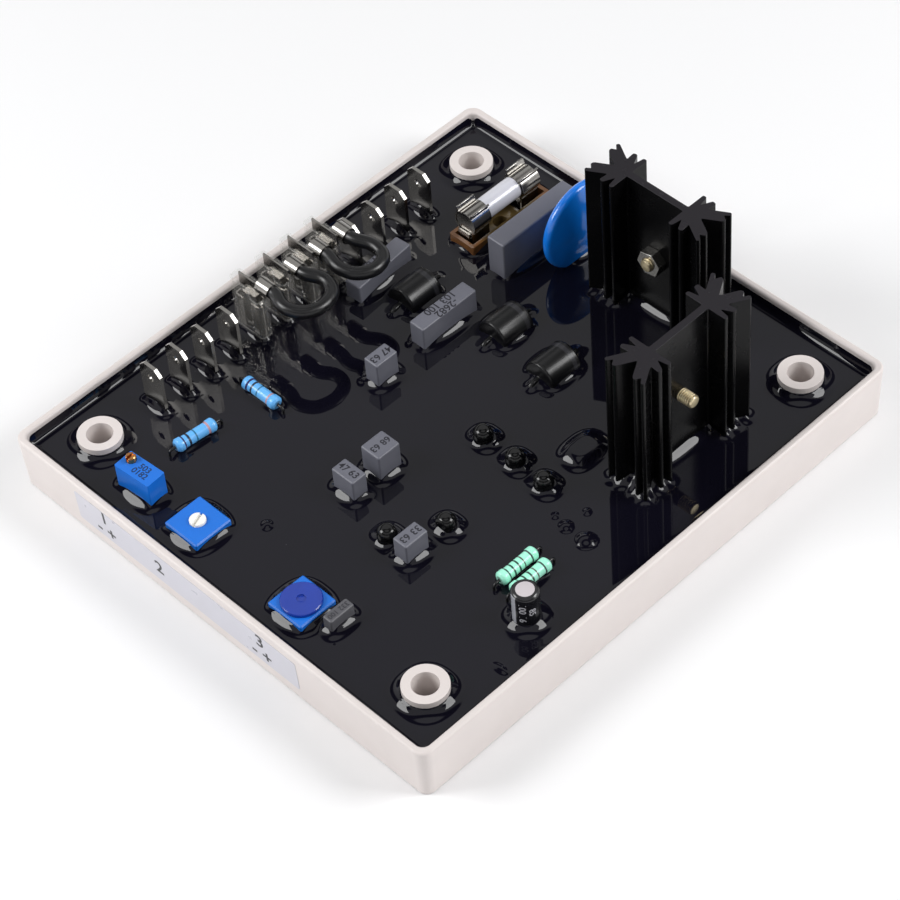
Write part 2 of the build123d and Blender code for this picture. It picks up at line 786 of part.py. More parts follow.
# Axial rectifiers: moulded cylinders that lie along Y on the board
diode_z = board_top + diode_diameter / 2
diode_half_run = diode_length / 2 + diode_lead_reach
for number, spot in enumerate(diode_spots):
    place = on_tray(spot)
    wire = axial_wire(place, Vector(0, 1, 0), diode_half_run, diode_z, diode_lead_bend, diode_lead)
    with BuildPart() as diode:
        with BuildSketch(Plane(origin=(*place, diode_z), z_dir=(0, 1, 0))):
            Circle(diode_diameter / 2)
        extrude(amount=diode_length / 2, both=True)
        chamfer(diode.edges().filter_by(GeomType.CIRCLE), length=diode_edge)
        add(wire)
    pot(diode, f"rectifier_diode_{number + 1}")

# Small transistors: a round back and a flat front on three leads
for number, spot in enumerate(transistor_spots):
    seat = board_plane(*on_tray(spot))
    pins = lead_pins(
        seat,
        [(k * transistor_pitch, 0) for k in (-1, 0, 1)],
        transistor_standoff + lead_bite,
        transistor_lead,
    )
    with BuildPart() as transistor:
        with BuildSketch(seat.offset(transistor_standoff)):
            Circle(transistor_radius)
            with Locations((0, -transistor_flat - transistor_radius)):
                Rectangle(2 * transistor_radius, 2 * transistor_radius, mode=Mode.SUBTRACT)
        extrude(amount=transistor_height)
        add(pins)
    pot(transistor, f"transistor_{number + 1}")

# Optocoupler: a low moulded block on four legs
opto_width, opto_length, opto_height = opto_size
opto_seat = board_plane(*on_tray(opto_spot))
leg_x = opto_leg_pitch / 2
leg_y = opto_length / 2 + opto_leg_gap
leg_spots = [(sx * leg_x, sy * leg_y) for sx in (-1, 1) for sy in (-1, 1)]
opto_legs = lead_pins(opto_seat, leg_spots, opto_leg_rise + opto_leg, opto_leg)
with BuildPart() as optocoupler:
    with BuildSketch(opto_seat.offset(opto_standoff)):
        Rectangle(opto_width, opto_length)
    extrude(amount=opto_height)
    chamfer(optocoupler.faces().sort_by(Axis.Z)[-1].edges(), length=opto_bevel)
    with BuildSketch(opto_seat.offset(opto_leg_rise)):
        with Locations((-leg_x, 0), (leg_x, 0)):
            Rectangle(opto_leg, 2 * leg_y + opto_leg)
    extrude(amount=opto_leg)
    add(opto_legs)
pot(optocoupler, "optocoupler")

# Axial resistors: a waisted body between two bulged ends, held above the board by its leads
resistor_z = board_top + resistor_rise
half = resistor_length / 2
resistor_half_run = half + resistor_lead_reach
for name, (spot, yaw) in resistor_spots.items():
    along = Vector(cos(radians(yaw)), sin(radians(yaw)), 0)
    place = on_tray(spot)
    wire = axial_wire(place, along, resistor_half_run, resistor_z, resistor_lead_bend, resistor_lead)
    with BuildPart() as resistor:
        with BuildSketch(Plane(origin=(*place, resistor_z), x_dir=along, z_dir=(0, 0, 1))):
            with BuildLine():
                Polyline(
                    (half, 0),
                    (half, resistor_end_face / 2),
                    (half - resistor_end_round, resistor_end / 2),
                    (half - resistor_cap_length + resistor_step, resistor_end / 2),
                    (half - resistor_cap_length, resistor_waist / 2),
                    (-half + resistor_cap_length, resistor_waist / 2),
                    (-half + resistor_cap_length - resistor_step, resistor_end / 2),
                    (-half + resistor_end_round, resistor_end / 2),
                    (-half, resistor_end_face / 2),
                    (-half, 0),
                    close=True,
                )
            make_face()
        revolve(axis=Axis((*place, resistor_z), along))
        add(wire)
    pot(resistor, name)

# Electrolytic capacitor: a sleeved can with a rolled groove and a vent in the top
can_radius = can_diameter / 2
can_top = can_standoff + can_height
groove_z = can_standoff + can_groove_rise
can_seat = board_plane(*on_tray(can_spot))
can_lead_spots = [(-can_lead_pitch / 2, 0), (can_lead_pitch / 2, 0)]
can_leads = lead_pins(can_seat, can_lead_spots, can_standoff + lead_bite)
with BuildPart() as electrolytic_capacitor:
    with BuildSketch(Plane(origin=can_seat.origin, x_dir=(1, 0, 0), z_dir=(0, -1, 0))):
        with BuildLine():
            Polyline(
                (0, can_standoff),
                (can_radius, can_standoff),
                (can_radius, groove_z - can_groove_half),
                (can_radius - can_groove, groove_z),
                (can_radius, groove_z + can_groove_half),
                (can_radius, can_top - can_shoulder),
                (can_radius - can_shoulder, can_top),
                (can_vent / 2, can_top),
                (can_vent / 2, can_top - can_vent_depth),
                (0, can_top - can_vent_depth),
                close=True,
            )
        make_face()
    revolve(axis=Axis(can_seat.origin, (0, 0, 1)))
    add(can_leads)
pot(electrolytic_capacitor, "electrolytic_capacitor")

# Voltage trimmer: an upright box with a slotted screw in its top
multi_width, multi_depth, multi_height = multi_size
multi_seat = board_plane(*on_tray(multi_spot), multi_yaw)
multi_leads = lead_pins(multi_seat, [(k * trimmer_lead_pitch, 0) for k in (-1, 0, 1)], lead_bite)
multi_top = multi_seat.offset(multi_height)
with BuildPart() as voltage_trimmer_body:
    with BuildSketch(multi_seat):
        RectangleRounded(multi_width, multi_depth, multi_edge)
    extrude(amount=multi_height)
    with BuildSketch(multi_top):
        with Locations(multi_screw_spot):
            Circle(multi_screw / 2 + turning_gap)
    extrude(amount=-multi_screw_depth, mode=Mode.SUBTRACT)
    add(multi_leads)
pot(voltage_trimmer_body, "voltage_trimmer_body")

with BuildPart() as voltage_screw:
    with BuildSketch(multi_top.offset(rotor_foot - multi_screw_depth)):
        with Locations(multi_screw_spot):
            Circle(multi_screw / 2)
    extrude(amount=multi_screw_depth - rotor_foot + multi_screw_rise)
    chamfer(voltage_screw.edges().sort_by(Axis.Z)[-1], length=multi_screw_bevel)
    with BuildSketch(multi_top.offset(multi_screw_rise)):
        with Locations(multi_screw_spot):
            Rectangle(multi_slot, 2 * multi_screw)
    extrude(amount=-slot_depth, mode=Mode.SUBTRACT)
keep(voltage_screw, "voltage_screw")


def single_turn_body(name, seat, height, bore):
    """A square trimmer case with a blind bore for its rotor."""
    spots = [(k * trimmer_lead_pitch, (1 - 2 * abs(k)) * single_lead_reach) for k in (-1, 0, 1)]
    leads = lead_pins(seat, spots, lead_bite)
    with BuildPart() as case:
        with BuildSketch(seat):
            RectangleRounded(single_side, single_side, single_corner)
        extrude(amount=height)
        chamfer(case.faces().sort_by(Axis.Z)[-1].edges(), length=single_edge)
        with BuildSketch(seat.offset(height)):
            Circle(bore / 2 + turning_gap)
        extrude(amount=-rotor_depth, mode=Mode.SUBTRACT)
        add(leads)
    pot(case, name)


# Stability trimmer: a slotted rotor that stands just proud of the case
stability_seat = board_plane(*on_tray(stability_spot))
single_turn_body("stability_trimmer_body", stability_seat, stability_height, stability_rotor_diameter)
stability_top = stability_seat.offset(stability_height)
with BuildPart() as stability_rotor:
    with BuildSketch(stability_top.offset(rotor_foot - rotor_depth)):
        Circle(stability_rotor_diameter / 2)
    extrude(amount=rotor_depth - rotor_foot + stability_rotor_rise)
    chamfer(stability_rotor.edges().sort_by(Axis.Z)[-1], length=stability_rotor_bevel)
    with BuildSketch(stability_top.offset(stability_rotor_rise)):
        Rectangle(stability_slot, 2 * stability_rotor_diameter, rotation=stability_slot_yaw)
    extrude(amount=-slot_depth, mode=Mode.SUBTRACT)
keep(stability_rotor, "stability_rotor")

# Under-frequency trimmer: a flat knob that covers most of the case, on a stem
frequency_seat = board_plane(*on_tray(frequency_spot))
single_turn_body("frequency_trimmer_body", frequency_seat, frequency_height, frequency_stem)
frequency_top = frequency_seat.offset(frequency_height)
with BuildPart() as frequency_knob:
    with BuildSketch(frequency_top.offset(rotor_foot)):
        Circle(frequency_knob_diameter / 2)
    extrude(amount=frequency_knob_height)
    chamfer(frequency_knob.edges().sort_by(Axis.Z)[-1], length=frequency_knob_bevel)
    with BuildSketch(frequency_top.offset(rotor_foot - rotor_depth)):
        Circle(frequency_stem / 2)
    extrude(amount=rotor_depth)
    with BuildSketch(frequency_top.offset(rotor_foot + frequency_knob_height)):
        Circle(frequency_dimple / 2)
    extrude(amount=-frequency_dimple_depth, mode=Mode.SUBTRACT)
keep(frequency_knob, "frequency_knob")

# Board: a plate with round holes for the bosses and a hole for each lead
board_width, board_length = cavity_size(board_bottom)
with BuildPart() as circuit_board:
    with BuildSketch(Plane.XY.offset(board_bottom)):
        Rectangle(board_width - 2 * board_edge_gap, board_length - 2 * board_edge_gap)
        with Locations(*boss_spots):
            Circle(boss_diameter / 2 + board_boss_gap, mode=Mode.SUBTRACT)
    extrude(amount=board_thickness)
    add(potted, mode=Mode.SUBTRACT)
keep(circuit_board, "circuit_board")

# Resin: what is left of the tray's inside, up to the resin level
with BuildPart() as potting_resin:
    with BuildSketch(Plane.XY.offset(tray_floor)):
        RectangleRounded(*cavity_size(tray_floor), corner_radius - tray_wall / 2)
    extrude(amount=resin_level - tray_floor, taper=-wall_draft)
    with BuildSketch(Plane.XY.offset(tray_floor)):
        with Locations(*boss_spots):
            Circle(boss_diameter / 2 + boss_shoulder)
    extrude(amount=board_standoff, mode=Mode.SUBTRACT)
    with BuildSketch(Plane.XY.offset(board_bottom)):
        with Locations(*boss_spots):
            Circle(boss_diameter / 2)
    extrude(amount=resin_level - board_bottom, mode=Mode.SUBTRACT)
    with BuildSketch(board_plane(fuse_base_x, fuse_y)):
        Rectangle(fuse_base_width - 2 * fuse_base_wall, fuse_base_length - 2 * fuse_base_wall)
    extrude(amount=fuse_base_height, mode=Mode.SUBTRACT)
    add(circuit_board.part, mode=Mode.SUBTRACT)
    add(potted, mode=Mode.SUBTRACT)
keep(potting_resin, "potting_resin")
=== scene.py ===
import logging
import math
from dataclasses import dataclass, field
from enum import Enum
from typing import Callable, Sequence

import bpy
import numpy as np
from mathutils import Matrix, Vector


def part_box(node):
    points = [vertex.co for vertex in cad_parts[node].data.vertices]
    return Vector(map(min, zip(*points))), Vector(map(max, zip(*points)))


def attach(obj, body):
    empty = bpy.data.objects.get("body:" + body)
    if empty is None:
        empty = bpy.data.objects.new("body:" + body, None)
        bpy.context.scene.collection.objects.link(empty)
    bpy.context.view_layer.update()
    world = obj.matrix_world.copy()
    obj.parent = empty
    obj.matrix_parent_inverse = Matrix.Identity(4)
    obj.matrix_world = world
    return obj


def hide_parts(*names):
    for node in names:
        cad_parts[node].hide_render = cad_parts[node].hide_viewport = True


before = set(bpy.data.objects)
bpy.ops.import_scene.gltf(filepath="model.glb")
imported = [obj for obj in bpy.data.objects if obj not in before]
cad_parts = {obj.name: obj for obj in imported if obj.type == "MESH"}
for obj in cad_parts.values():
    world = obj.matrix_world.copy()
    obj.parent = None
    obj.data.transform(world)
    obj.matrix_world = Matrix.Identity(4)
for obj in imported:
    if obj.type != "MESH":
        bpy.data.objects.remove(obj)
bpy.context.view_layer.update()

MM = 0.001
TO_MM = 1000.0
HOUSING = "housing"
RESIN_LEVEL = 10.0
OVAL_POWER = 2.5
SINK_CORE = 11.3
PRINT_LIFT = 0.005
RESISTOR_YAWS = {
    "blue_resistor_1": 84.0,
    "blue_resistor_2": 0.0,
    "green_resistor_1": 90.0,
    "green_resistor_2": 90.0,
}
log = logging.getLogger("regulator")

Colour = tuple[int, int, int]
Point = tuple[float, float, float]
Spot = tuple[float, float]


def linear(colour: Colour) -> tuple[float, float, float, float]:
    """Turn a screen colour of 0 to 255 into the linear colour that a shader takes.

    Args:
        colour: red, green and blue as seen on a screen.

    Returns:
        The linear colour with an alpha of 1.
    """
    steps = [value / 255 for value in colour]
    parts = [v / 12.92 if v <= 0.04045 else ((v + 0.055) / 1.055) ** 2.4 for v in steps]
    return (parts[0], parts[1], parts[2], 1.0)


class Slot(Enum):
    """The record's material slots."""

    TRAY = "tray_plastic"
    LABEL = "label_paper"
    BOARD = "board"
    RESIN = "resin"
    TINNED = "tinned_metal"
    SLEEVE = "clear_sleeve"
    WIRE = "wire_black"
    FUSE_BASE = "fuse_base_plastic"
    CERAMIC = "ceramic"
    GREY_CASE = "capacitor_grey"
    DARK_CASE = "capacitor_dark"
    VARISTOR = "varistor_blue"
    ANODISED = "black_anodised"
    EPOXY = "black_epoxy"
    STEEL = "steel"
    BLUE_RESISTOR = "resistor_blue"
    GREEN_RESISTOR = "resistor_green"
    CAN = "can_black"
    TRIMMER = "trimmer_blue"
    KNOB = "knob_blue"
    BRASS = "brass"
    ROTOR = "rotor_white"


class Channel:
    """A value that changes over a surface, with arithmetic that adds the shader's Math nodes."""

    def __init__(self, graph: "Graph", socket: bpy.types.NodeSocket) -> None:
        """Wrap one output socket of a graph."""
        self.graph = graph
        self.socket = socket

    def calc(self, operation: str, *others: "Channel | float") -> "Channel":
        """Add a Math node that starts with this value and goes on with the others."""
        inputs = dict(enumerate((self, *others)))
        node = self.graph.add("ShaderNodeMath", {"operation": operation}, inputs)
        return Channel(self.graph, node.outputs[0])

    def __add__(self, other: "Channel | float") -> "Channel":
        """Sum."""
        return self.calc("ADD", other)

    def __sub__(self, other: "Channel | float") -> "Channel":
        """Difference."""
        return self.calc("SUBTRACT", other)

    def __mul__(self, other: "Channel | float") -> "Channel":
        """Product."""
        return self.calc("MULTIPLY", other)

    def __truediv__(self, other: "Channel | float") -> "Channel":
        """Quotient."""
        return self.calc("DIVIDE", other)

    def __abs__(self) -> "Channel":
        """Size without sign."""
        return self.calc("ABSOLUTE")

    def rises(self, low: float, high: float) -> "Channel":
        """A ramp from 0 at low to 1 at high, level outside them; low may be the greater."""
        return ((self - low) / (high - low)).calc("MINIMUM", 1.0).calc("MAXIMUM", 0.0)


class Graph:
    """The node tree of one material."""

    def __init__(self, name: str) -> None:
        """Start a material with an empty Principled shader."""
        self.material = bpy.data.materials.new(name)
        self.material.use_nodes = True
        self.tree = self.material.node_tree
        self.shader = self.tree.nodes["Principled BSDF"]
        self._place: Channel | None = None

    def add(
        self, kind: str, settings: dict | None = None, inputs: dict | None = None
    ) -> bpy.types.Node:
        """Add a node.

        Args:
            kind: the node's type.
            settings: properties that are set before the inputs.
            inputs: values or channels by socket name or number.

        Returns:
            The new node.
        """
        node = self.tree.nodes.new(kind)
        for key, value in (settings or {}).items():
            setattr(node, key, value)
        for key, value in (inputs or {}).items():
            self.plug(node.inputs[key], value)
        return node

    def plug(self, socket: bpy.types.NodeSocket, value: object) -> None:
        """Link a channel into a socket, or write a plain value there."""
        if isinstance(value, Channel):
            self.tree.links.new(value.socket, socket)
        else:
            socket.default_value = value

    def place(self) -> Channel:
        """The point on the surface, in metres."""
        if self._place is None:
            self._place = Channel(self, self.add("ShaderNodeTexCoord").outputs["Object"])
        return self._place

    def along(self, centre: Point, direction: Point) -> Channel:
        """How far a point lies from a centre along a direction, in millimetres."""
        kind = "ShaderNodeVectorMath"
        start = tuple(c * MM for c in centre)
        offset = self.add(kind, {"operation": "SUBTRACT"}, {0: self.place(), 1: start})
        ends = {0: Channel(self, offset.outputs[0]), 1: direction}
        dot = self.add(kind, {"operation": "DOT_PRODUCT"}, ends)
        return Channel(self, dot.outputs["Value"]) * TO_MM

    def noise(self, size: float, detail: float = 2.0, stretch: Point = (1.0, 1.0, 1.0)) -> Channel:
        """Soft noise about the given size, in millimetres, from about -1 to 1."""
        mapping = self.add("ShaderNodeMapping", None, {"Vector": self.place(), "Scale": stretch})
        point = Channel(self, mapping.outputs[0])
        inputs = {"Vector": point, "Scale": 1 / (size * MM), "Detail": detail}
        noise = self.add("ShaderNodeTexNoise", None, inputs)
        return Channel(self, noise.outputs[0]) * 2.0 - 1.0

    def blend(self, first: object, second: object, share: "Channel | float") -> Channel:
        """Mix two colours."""
        node = self.add("ShaderNodeMix", {"data_type": "RGBA"}, {0: share, 6: first, 7: second})
        return Channel(self, node.outputs[2])

    def bump(self, height: Channel, depth: float) -> None:
        """Raise the surface by a height of -1 to 1, times a depth in millimetres."""
        inputs = {"Strength": 1.0, "Distance": depth * MM, "Height": height}
        node = self.add("ShaderNodeBump", None, inputs)
        self.plug(self.shader.inputs["Normal"], Channel(self, node.outputs[0]))


@dataclass(frozen=True)
class Finish:
    """One real finish: its colour, its gloss, and how both change over the surface.

    Sizes and depths are in millimetres.
    """

    slot: Slot
    colour: Colour
    roughness: float
    metallic: float = 0.0
    specular: float = 0.5
    coat: float = 0.0
    mottle: float = 0.05
    mottle_size: float = 4.0
    smear: float = 0.06
    smear_size: float = 2.5
    grain: float = 0.004
    grain_size: float = 0.25
    stretch: Point = (1.0, 1.0, 1.0)
    alpha: float = 1.0

    def tint(self, graph: Graph) -> Channel:
        """The base colour, a little darker and lighter in soft patches."""
        dark = linear(tuple(int(c * (1 - self.mottle)) for c in self.colour))
        light = linear(tuple(min(255, int(c * (1 + self.mottle))) for c in self.colour))
        patches = graph.noise(self.mottle_size, 3.0, self.stretch) * 0.5 + 0.5
        return graph.blend(dark, light, patches)

    def shine(self, graph: Graph) -> Channel:
        """The roughness over the surface, with handled and rubbed patches."""
        return graph.noise(self.smear_size, 2.0, self.stretch) * self.smear + self.roughness

    def relief(self, graph: Graph) -> None:
        """The fine grain of the surface."""
        if self.grain:
            graph.bump(graph.noise(self.grain_size, 2.0, self.stretch), self.grain)

    def make(self, name: str | None = None) -> bpy.types.Material:
        """Build the material."""
        graph = Graph(name or self.slot.value)
        sockets = graph.shader.inputs
        graph.plug(sockets["Base Color"], self.tint(graph))
        graph.plug(sockets["Roughness"], self.shine(graph))
        sockets["Metallic"].default_value = self.metallic
        sockets["Specular IOR Level"].default_value = self.specular
        sockets["Coat Weight"].default_value = self.coat
        sockets["Coat Roughness"].default_value = 0.04
        if self.alpha < 1:
            sockets["Alpha"].default_value = self.alpha
        self.relief(graph)
        return graph.material


@dataclass(frozen=True)
class Stripe:
    """A painted band across a piece, between two distances along its axis."""

    start: float
    end: float
    colour: Colour


@dataclass(frozen=True)
class StripedFinish(Finish):
    """A finish with bands across an axis, such as a resistor's code or a wetted lead.

    The bands' edges are soft and wander by up to wander, both in millimetres.
    """

    centre: Point = (0.0, 0.0, 0.0)
    direction: Point = (0.0, 1.0, 0.0)
    stripes: tuple[Stripe, ...] = ()
    soft: float = 0.06
    wander: float = 0.05

    def mask(self, graph: Graph, stripe: Stripe) -> Channel:
        """1 inside a stripe and 0 outside it, with a slightly uneven edge."""
        wobble = graph.noise(0.8, 1.0) * self.wander
        middle = (stripe.start + stripe.end) / 2
        half = (stripe.end - stripe.start) / 2
        run = abs(graph.along(self.centre, self.direction) - middle) + wobble
        return run.rises(half + self.soft, half - self.soft)

    def tint(self, graph: Graph) -> Channel:
        """The base colour with the stripes painted over it."""
        colour = super().tint(graph)
        for stripe in self.stripes:
            colour = graph.blend(colour, linear(stripe.colour), self.mask(graph, stripe))
        return colour


@dataclass(frozen=True)
class CanFinish(Finish):
    """A can's shrunk sleeve: dark, with one pale stripe down its side."""

    centre: Point = (0.0, 0.0, 0.0)
    facing: Point = (-0.24, -0.97, 0.0)
    stripe: Colour = (168, 170, 178)

    def tint(self, graph: Graph) -> Channel:
        """The sleeve's colour with its stripe, which ends under the rounded rim."""
        side = (-self.facing[1], self.facing[0], 0.0)
        band = abs(graph.along(self.centre, side)).rises(0.8, 0.72)
        front = graph.along(self.centre, self.facing).rises(0.4, 0.6)
        below = graph.along(self.centre, (0.0, 0.0, 1.0)).rises(-0.35, -0.45)
        return graph.blend(super().tint(graph), linear(self.stripe), band * front * below)


@dataclass(frozen=True)
class FuseBaseFinish(Finish):
    """Moulded resin plastic, golden olive with browner ends."""

    centre: Point = (-31.7, 46.9, 0.0)
    shade: Colour = (88, 74, 46)
    end_colour: Colour = (136, 92, 54)
    end_shade: Colour = (84, 54, 32)

    def tint(self, graph: Graph) -> Channel:
        """Olive in the middle and brown at the ends, in cloudy patches."""
        far = abs(graph.along(self.centre, (0.0, 1.0, 0.0))).rises(6.0, 10.0)
        cloud = graph.noise(2.4, 3.0) * 0.5 + 0.5
        middle = graph.blend(linear(self.colour), linear(self.shade), cloud)
        ends = graph.blend(linear(self.end_colour), linear(self.end_shade), cloud)
        return graph.blend(middle, ends, far)


@dataclass(frozen=True)
class ResinFinish(Finish):
    """Poured resin: a deep black with a wet gloss, faint ripples and a few specks of dust."""

    dust: Colour = (120, 120, 125)
    ripple_size: float = 14.0

    def tint(self, graph: Graph) -> Channel:
        """Black with sparse grey dust."""
        speck = graph.noise(0.55, 0.0).rises(0.83, 0.9) * 0.35
        return graph.blend(linear(self.colour), linear(self.dust), speck)

    def relief(self, graph: Graph) -> None:
        """Long shallow ripples left by the pour."""
        graph.bump(graph.noise(self.ripple_size, 1.0), self.grain)


@dataclass(frozen=True)
class ExtrudedFinish(Finish):
    """Anodised extrusion with fine die lines along its length, and a painted grey sheen on its top
    end faces that stands for their reflection of the sky.
    """

    top: float = 44.8
    # painted sheen: the grey that the top end faces reflect, painted into their colour
    top_sheen: Colour = (37, 35, 39)

    def tint(self, graph: Graph) -> Channel:
        """Near black, with a painted grey sheen on the top end face."""
        # mask of the top end face, where the painted sheen goes
        end = graph.along((0.0, 0.0, self.top), (0.0, 0.0, 1.0)).rises(-0.1, -0.03)
        return graph.blend(super().tint(graph), linear(self.top_sheen), end)

    def relief(self, graph: Graph) -> None:
        """Upright die lines."""
        graph.bump(graph.noise(0.3, 2.0, (1.0, 1.0, 0.01)), self.grain)


FINISHES: dict[Slot, Finish] = {
    finish.slot: finish
    for finish in (
        Finish(
            Slot.TRAY, (218, 210, 207), 0.42, mottle=0.02, mottle_size=9.0, grain=0.006,
            grain_size=0.35,
        ),
        Finish(
            Slot.LABEL, (200, 199, 208), 0.3, mottle=0.015, mottle_size=6.0, grain=0.003,
            grain_size=0.5, coat=0.2,
        ),
        Finish(Slot.BOARD, (96, 70, 38), 0.5, mottle=0.12),
        ResinFinish(
            Slot.RESIN, (13, 12, 22), 0.03, specular=0.31, smear=0.015, smear_size=8.0, grain=0.012
        ),
        Finish(Slot.TINNED, (150, 148, 144), 0.18, metallic=1.0, mottle=0.1, grain=0.0),
        Finish(
            Slot.SLEEVE, (205, 202, 196), 0.12, smear=0.04, alpha=0.08, grain=0.01, grain_size=1.5
        ),
        Finish(Slot.WIRE, (15, 15, 17), 0.3, mottle=0.15, smear=0.1, grain=0.01, grain_size=0.8),
        FuseBaseFinish(Slot.FUSE_BASE, (122, 100, 58), 0.22),
        Finish(
            Slot.CERAMIC, (206, 206, 214), 0.2, mottle=0.015, smear=0.04, grain=0.002,
            grain_size=0.6, coat=0.4,
        ),
        Finish(Slot.GREY_CASE, (104, 105, 115), 0.42, mottle=0.04, grain=0.006, grain_size=0.3),
        Finish(Slot.DARK_CASE, (88, 88, 93), 0.4, grain=0.006, grain_size=0.3),
        Finish(
            Slot.VARISTOR, (12, 120, 226), 0.2, smear=0.05, coat=0.6, grain=0.02, grain_size=2.6
        ),
        ExtrudedFinish(
            Slot.ANODISED, (8, 8, 9), 0.26, specular=0.16, mottle=0.1, smear=0.05, grain=0.005
        ),
        Finish(
            Slot.EPOXY, (10, 10, 12), 0.14, specular=0.4, mottle=0.1, smear=0.05, grain_size=0.35
        ),
        Finish(Slot.STEEL, (176, 174, 170), 0.26, metallic=0.95, smear=0.05, grain=0.0),
        Finish(Slot.TRIMMER, (22, 112, 214), 0.34, mottle=0.04),
        Finish(Slot.KNOB, (12, 52, 156), 0.2, mottle=0.08, coat=0.4),
        Finish(Slot.BRASS, (196, 140, 88), 0.28, metallic=1.0, mottle=0.12, smear=0.1),
        Finish(Slot.ROTOR, (248, 246, 240), 0.35, mottle=0.02),
    )
}


class Bench:
    """The modelling steps that the pieces share, made with the editor's own operators."""

    materials: dict[str, bpy.types.Material] = {}

    @classmethod
    def material(cls, finish: Finish, name: str | None = None) -> bpy.types.Material:
        """The material of a finish, made once."""
        key = name or finish.slot.value
        if key not in cls.materials:
            cls.materials[key] = finish.make(key)
        return cls.materials[key]

    @staticmethod
    def pick(piece: bpy.types.Object) -> None:
        """Select one piece alone and make it active."""
        bpy.ops.object.select_all(action="DESELECT")
        piece.select_set(True)
        bpy.context.view_layer.objects.active = piece

    @classmethod
    def edit(cls, piece: bpy.types.Object, *steps: Callable[[], object]) -> None:
        """Run steps on everything in a piece in edit mode."""
        cls.pick(piece)
        bpy.ops.object.mode_set(mode="EDIT")
        bpy.ops.mesh.select_all(action="SELECT")
        for step in steps:
            step()
        bpy.ops.object.mode_set(mode="OBJECT")

    @classmethod
    def cut(cls, piece: bpy.types.Object, place: Vector, side: Vector) -> None:
        """Cut a piece flat at a place in millimetres and drop what lies on one side."""
        cls.edit(
            piece,
            lambda: bpy.ops.mesh.bisect(
                plane_co=place * MM, plane_no=side, clear_outer=True, use_fill=True
            ),
        )

    @classmethod
    def rounded(
        cls,
        piece: bpy.types.Object,
        radius: float,
        segments: int = 2,
        angle: float = 32.0,
        edge: int = -1,
    ) -> None:
        """Round a piece's sharp edges and smooth its shading, with the flats kept flat.

        Args:
            piece: the piece.
            radius: the rounding, in millimetres.
            segments: its steps.
            angle: the angle over which an edge is sharp, in degrees.
            edge: the material slot of the rounded edges, or -1 for the material around them.
        """
        cls.pick(piece)
        if radius:
            bevel = piece.modifiers.new("edge", "BEVEL")
            bevel.width = radius * MM
            bevel.segments = segments
            bevel.limit_method = "ANGLE"
            bevel.angle_limit = math.radians(angle)
            bevel.use_clamp_overlap = True
            bevel.material = edge
            bpy.ops.object.modifier_apply(modifier=bevel.name)
        bpy.ops.object.shade_smooth_by_angle(angle=math.radians(angle))
        even = piece.modifiers.new("even", "WEIGHTED_NORMAL")
        even.keep_sharp = True
        even.weight = 100
        bpy.ops.object.modifier_apply(modifier=even.name)

    @classmethod
    def copy(
        cls, node: str, radius: float = 0.0, segments: int = 2, flat: float = 0.4
    ) -> bpy.types.Object:
        """A finished copy of a CAD piece, with its flats joined and its edges rounded.

        Args:
            node: the CAD node.
            radius: the rounding of its sharp edges, in millimetres.
            segments: the steps of the rounding.
            flat: the angle under which neighbouring faces are joined, in degrees, or 0 to join none.

        Returns:
            The new piece.
        """
        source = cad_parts[node]
        mesh = source.data.copy()
        mesh.materials.clear()
        piece = bpy.data.objects.new(f"{node}_finished", mesh)
        bpy.context.scene.collection.objects.link(piece)
        cls.pick(piece)
        if mesh.has_custom_normals:
            bpy.ops.mesh.customdata_custom_splitnormals_clear()
        cls.edit(piece, lambda: bpy.ops.mesh.remove_doubles(threshold=0.002 * MM))
        if flat:
            cls.edit(piece, lambda: bpy.ops.mesh.dissolve_limited(angle_limit=math.radians(flat)))
        cls.rounded(piece, radius, segments)
        return piece

    @classmethod
    def plain(cls, node: str, slot: Slot, *shape: float, body: str = HOUSING) -> None:
        """Finish a plain copy of a CAD piece; the shape is what copy takes after the node."""
        cls.finish(cls.copy(node, *shape), FINISHES[slot], node, body)

    @classmethod
    def turned(
        cls, name: str, rings: Sequence[Spot], turn: Matrix, sides: int = 40
    ) -> bpy.types.Object:
        """A turned piece: a disc that is extruded and resized ring by ring.

        Args:
            name: the piece's name.
            rings: radius and height of each ring, in millimetres.
            turn: the placing of its axis, from local millimetres to metres.
            sides: the number of sides.

        Returns:
            The new piece.
        """
        bpy.ops.object.select_all(action="DESELECT")
        bpy.ops.mesh.primitive_circle_add(
            vertices=sides, radius=rings[0][0], fill_type="NGON", location=(0, 0, 0)
        )
        piece = bpy.context.active_object
        piece.name = name
        bpy.ops.object.mode_set(mode="EDIT")
        bpy.ops.mesh.select_all(action="SELECT")
        for (before, low), (after, high) in zip(rings, rings[1:]):
            step = (0, 0, high - low)
            bpy.ops.mesh.extrude_region_move(TRANSFORM_OT_translate={"value": step})
            scale = after / before
            bpy.ops.transform.resize(value=(scale, scale, 1.0), center_override=(0, 0, 0))
        bpy.ops.mesh.select_all(action="SELECT")
        bpy.ops.mesh.normals_make_consistent(inside=False)
        bpy.ops.object.mode_set(mode="OBJECT")
        piece.data.transform(turn @ Matrix.Translation((0, 0, rings[0][1])))
        bpy.ops.object.shade_smooth_by_angle(angle=math.radians(38))
        return piece

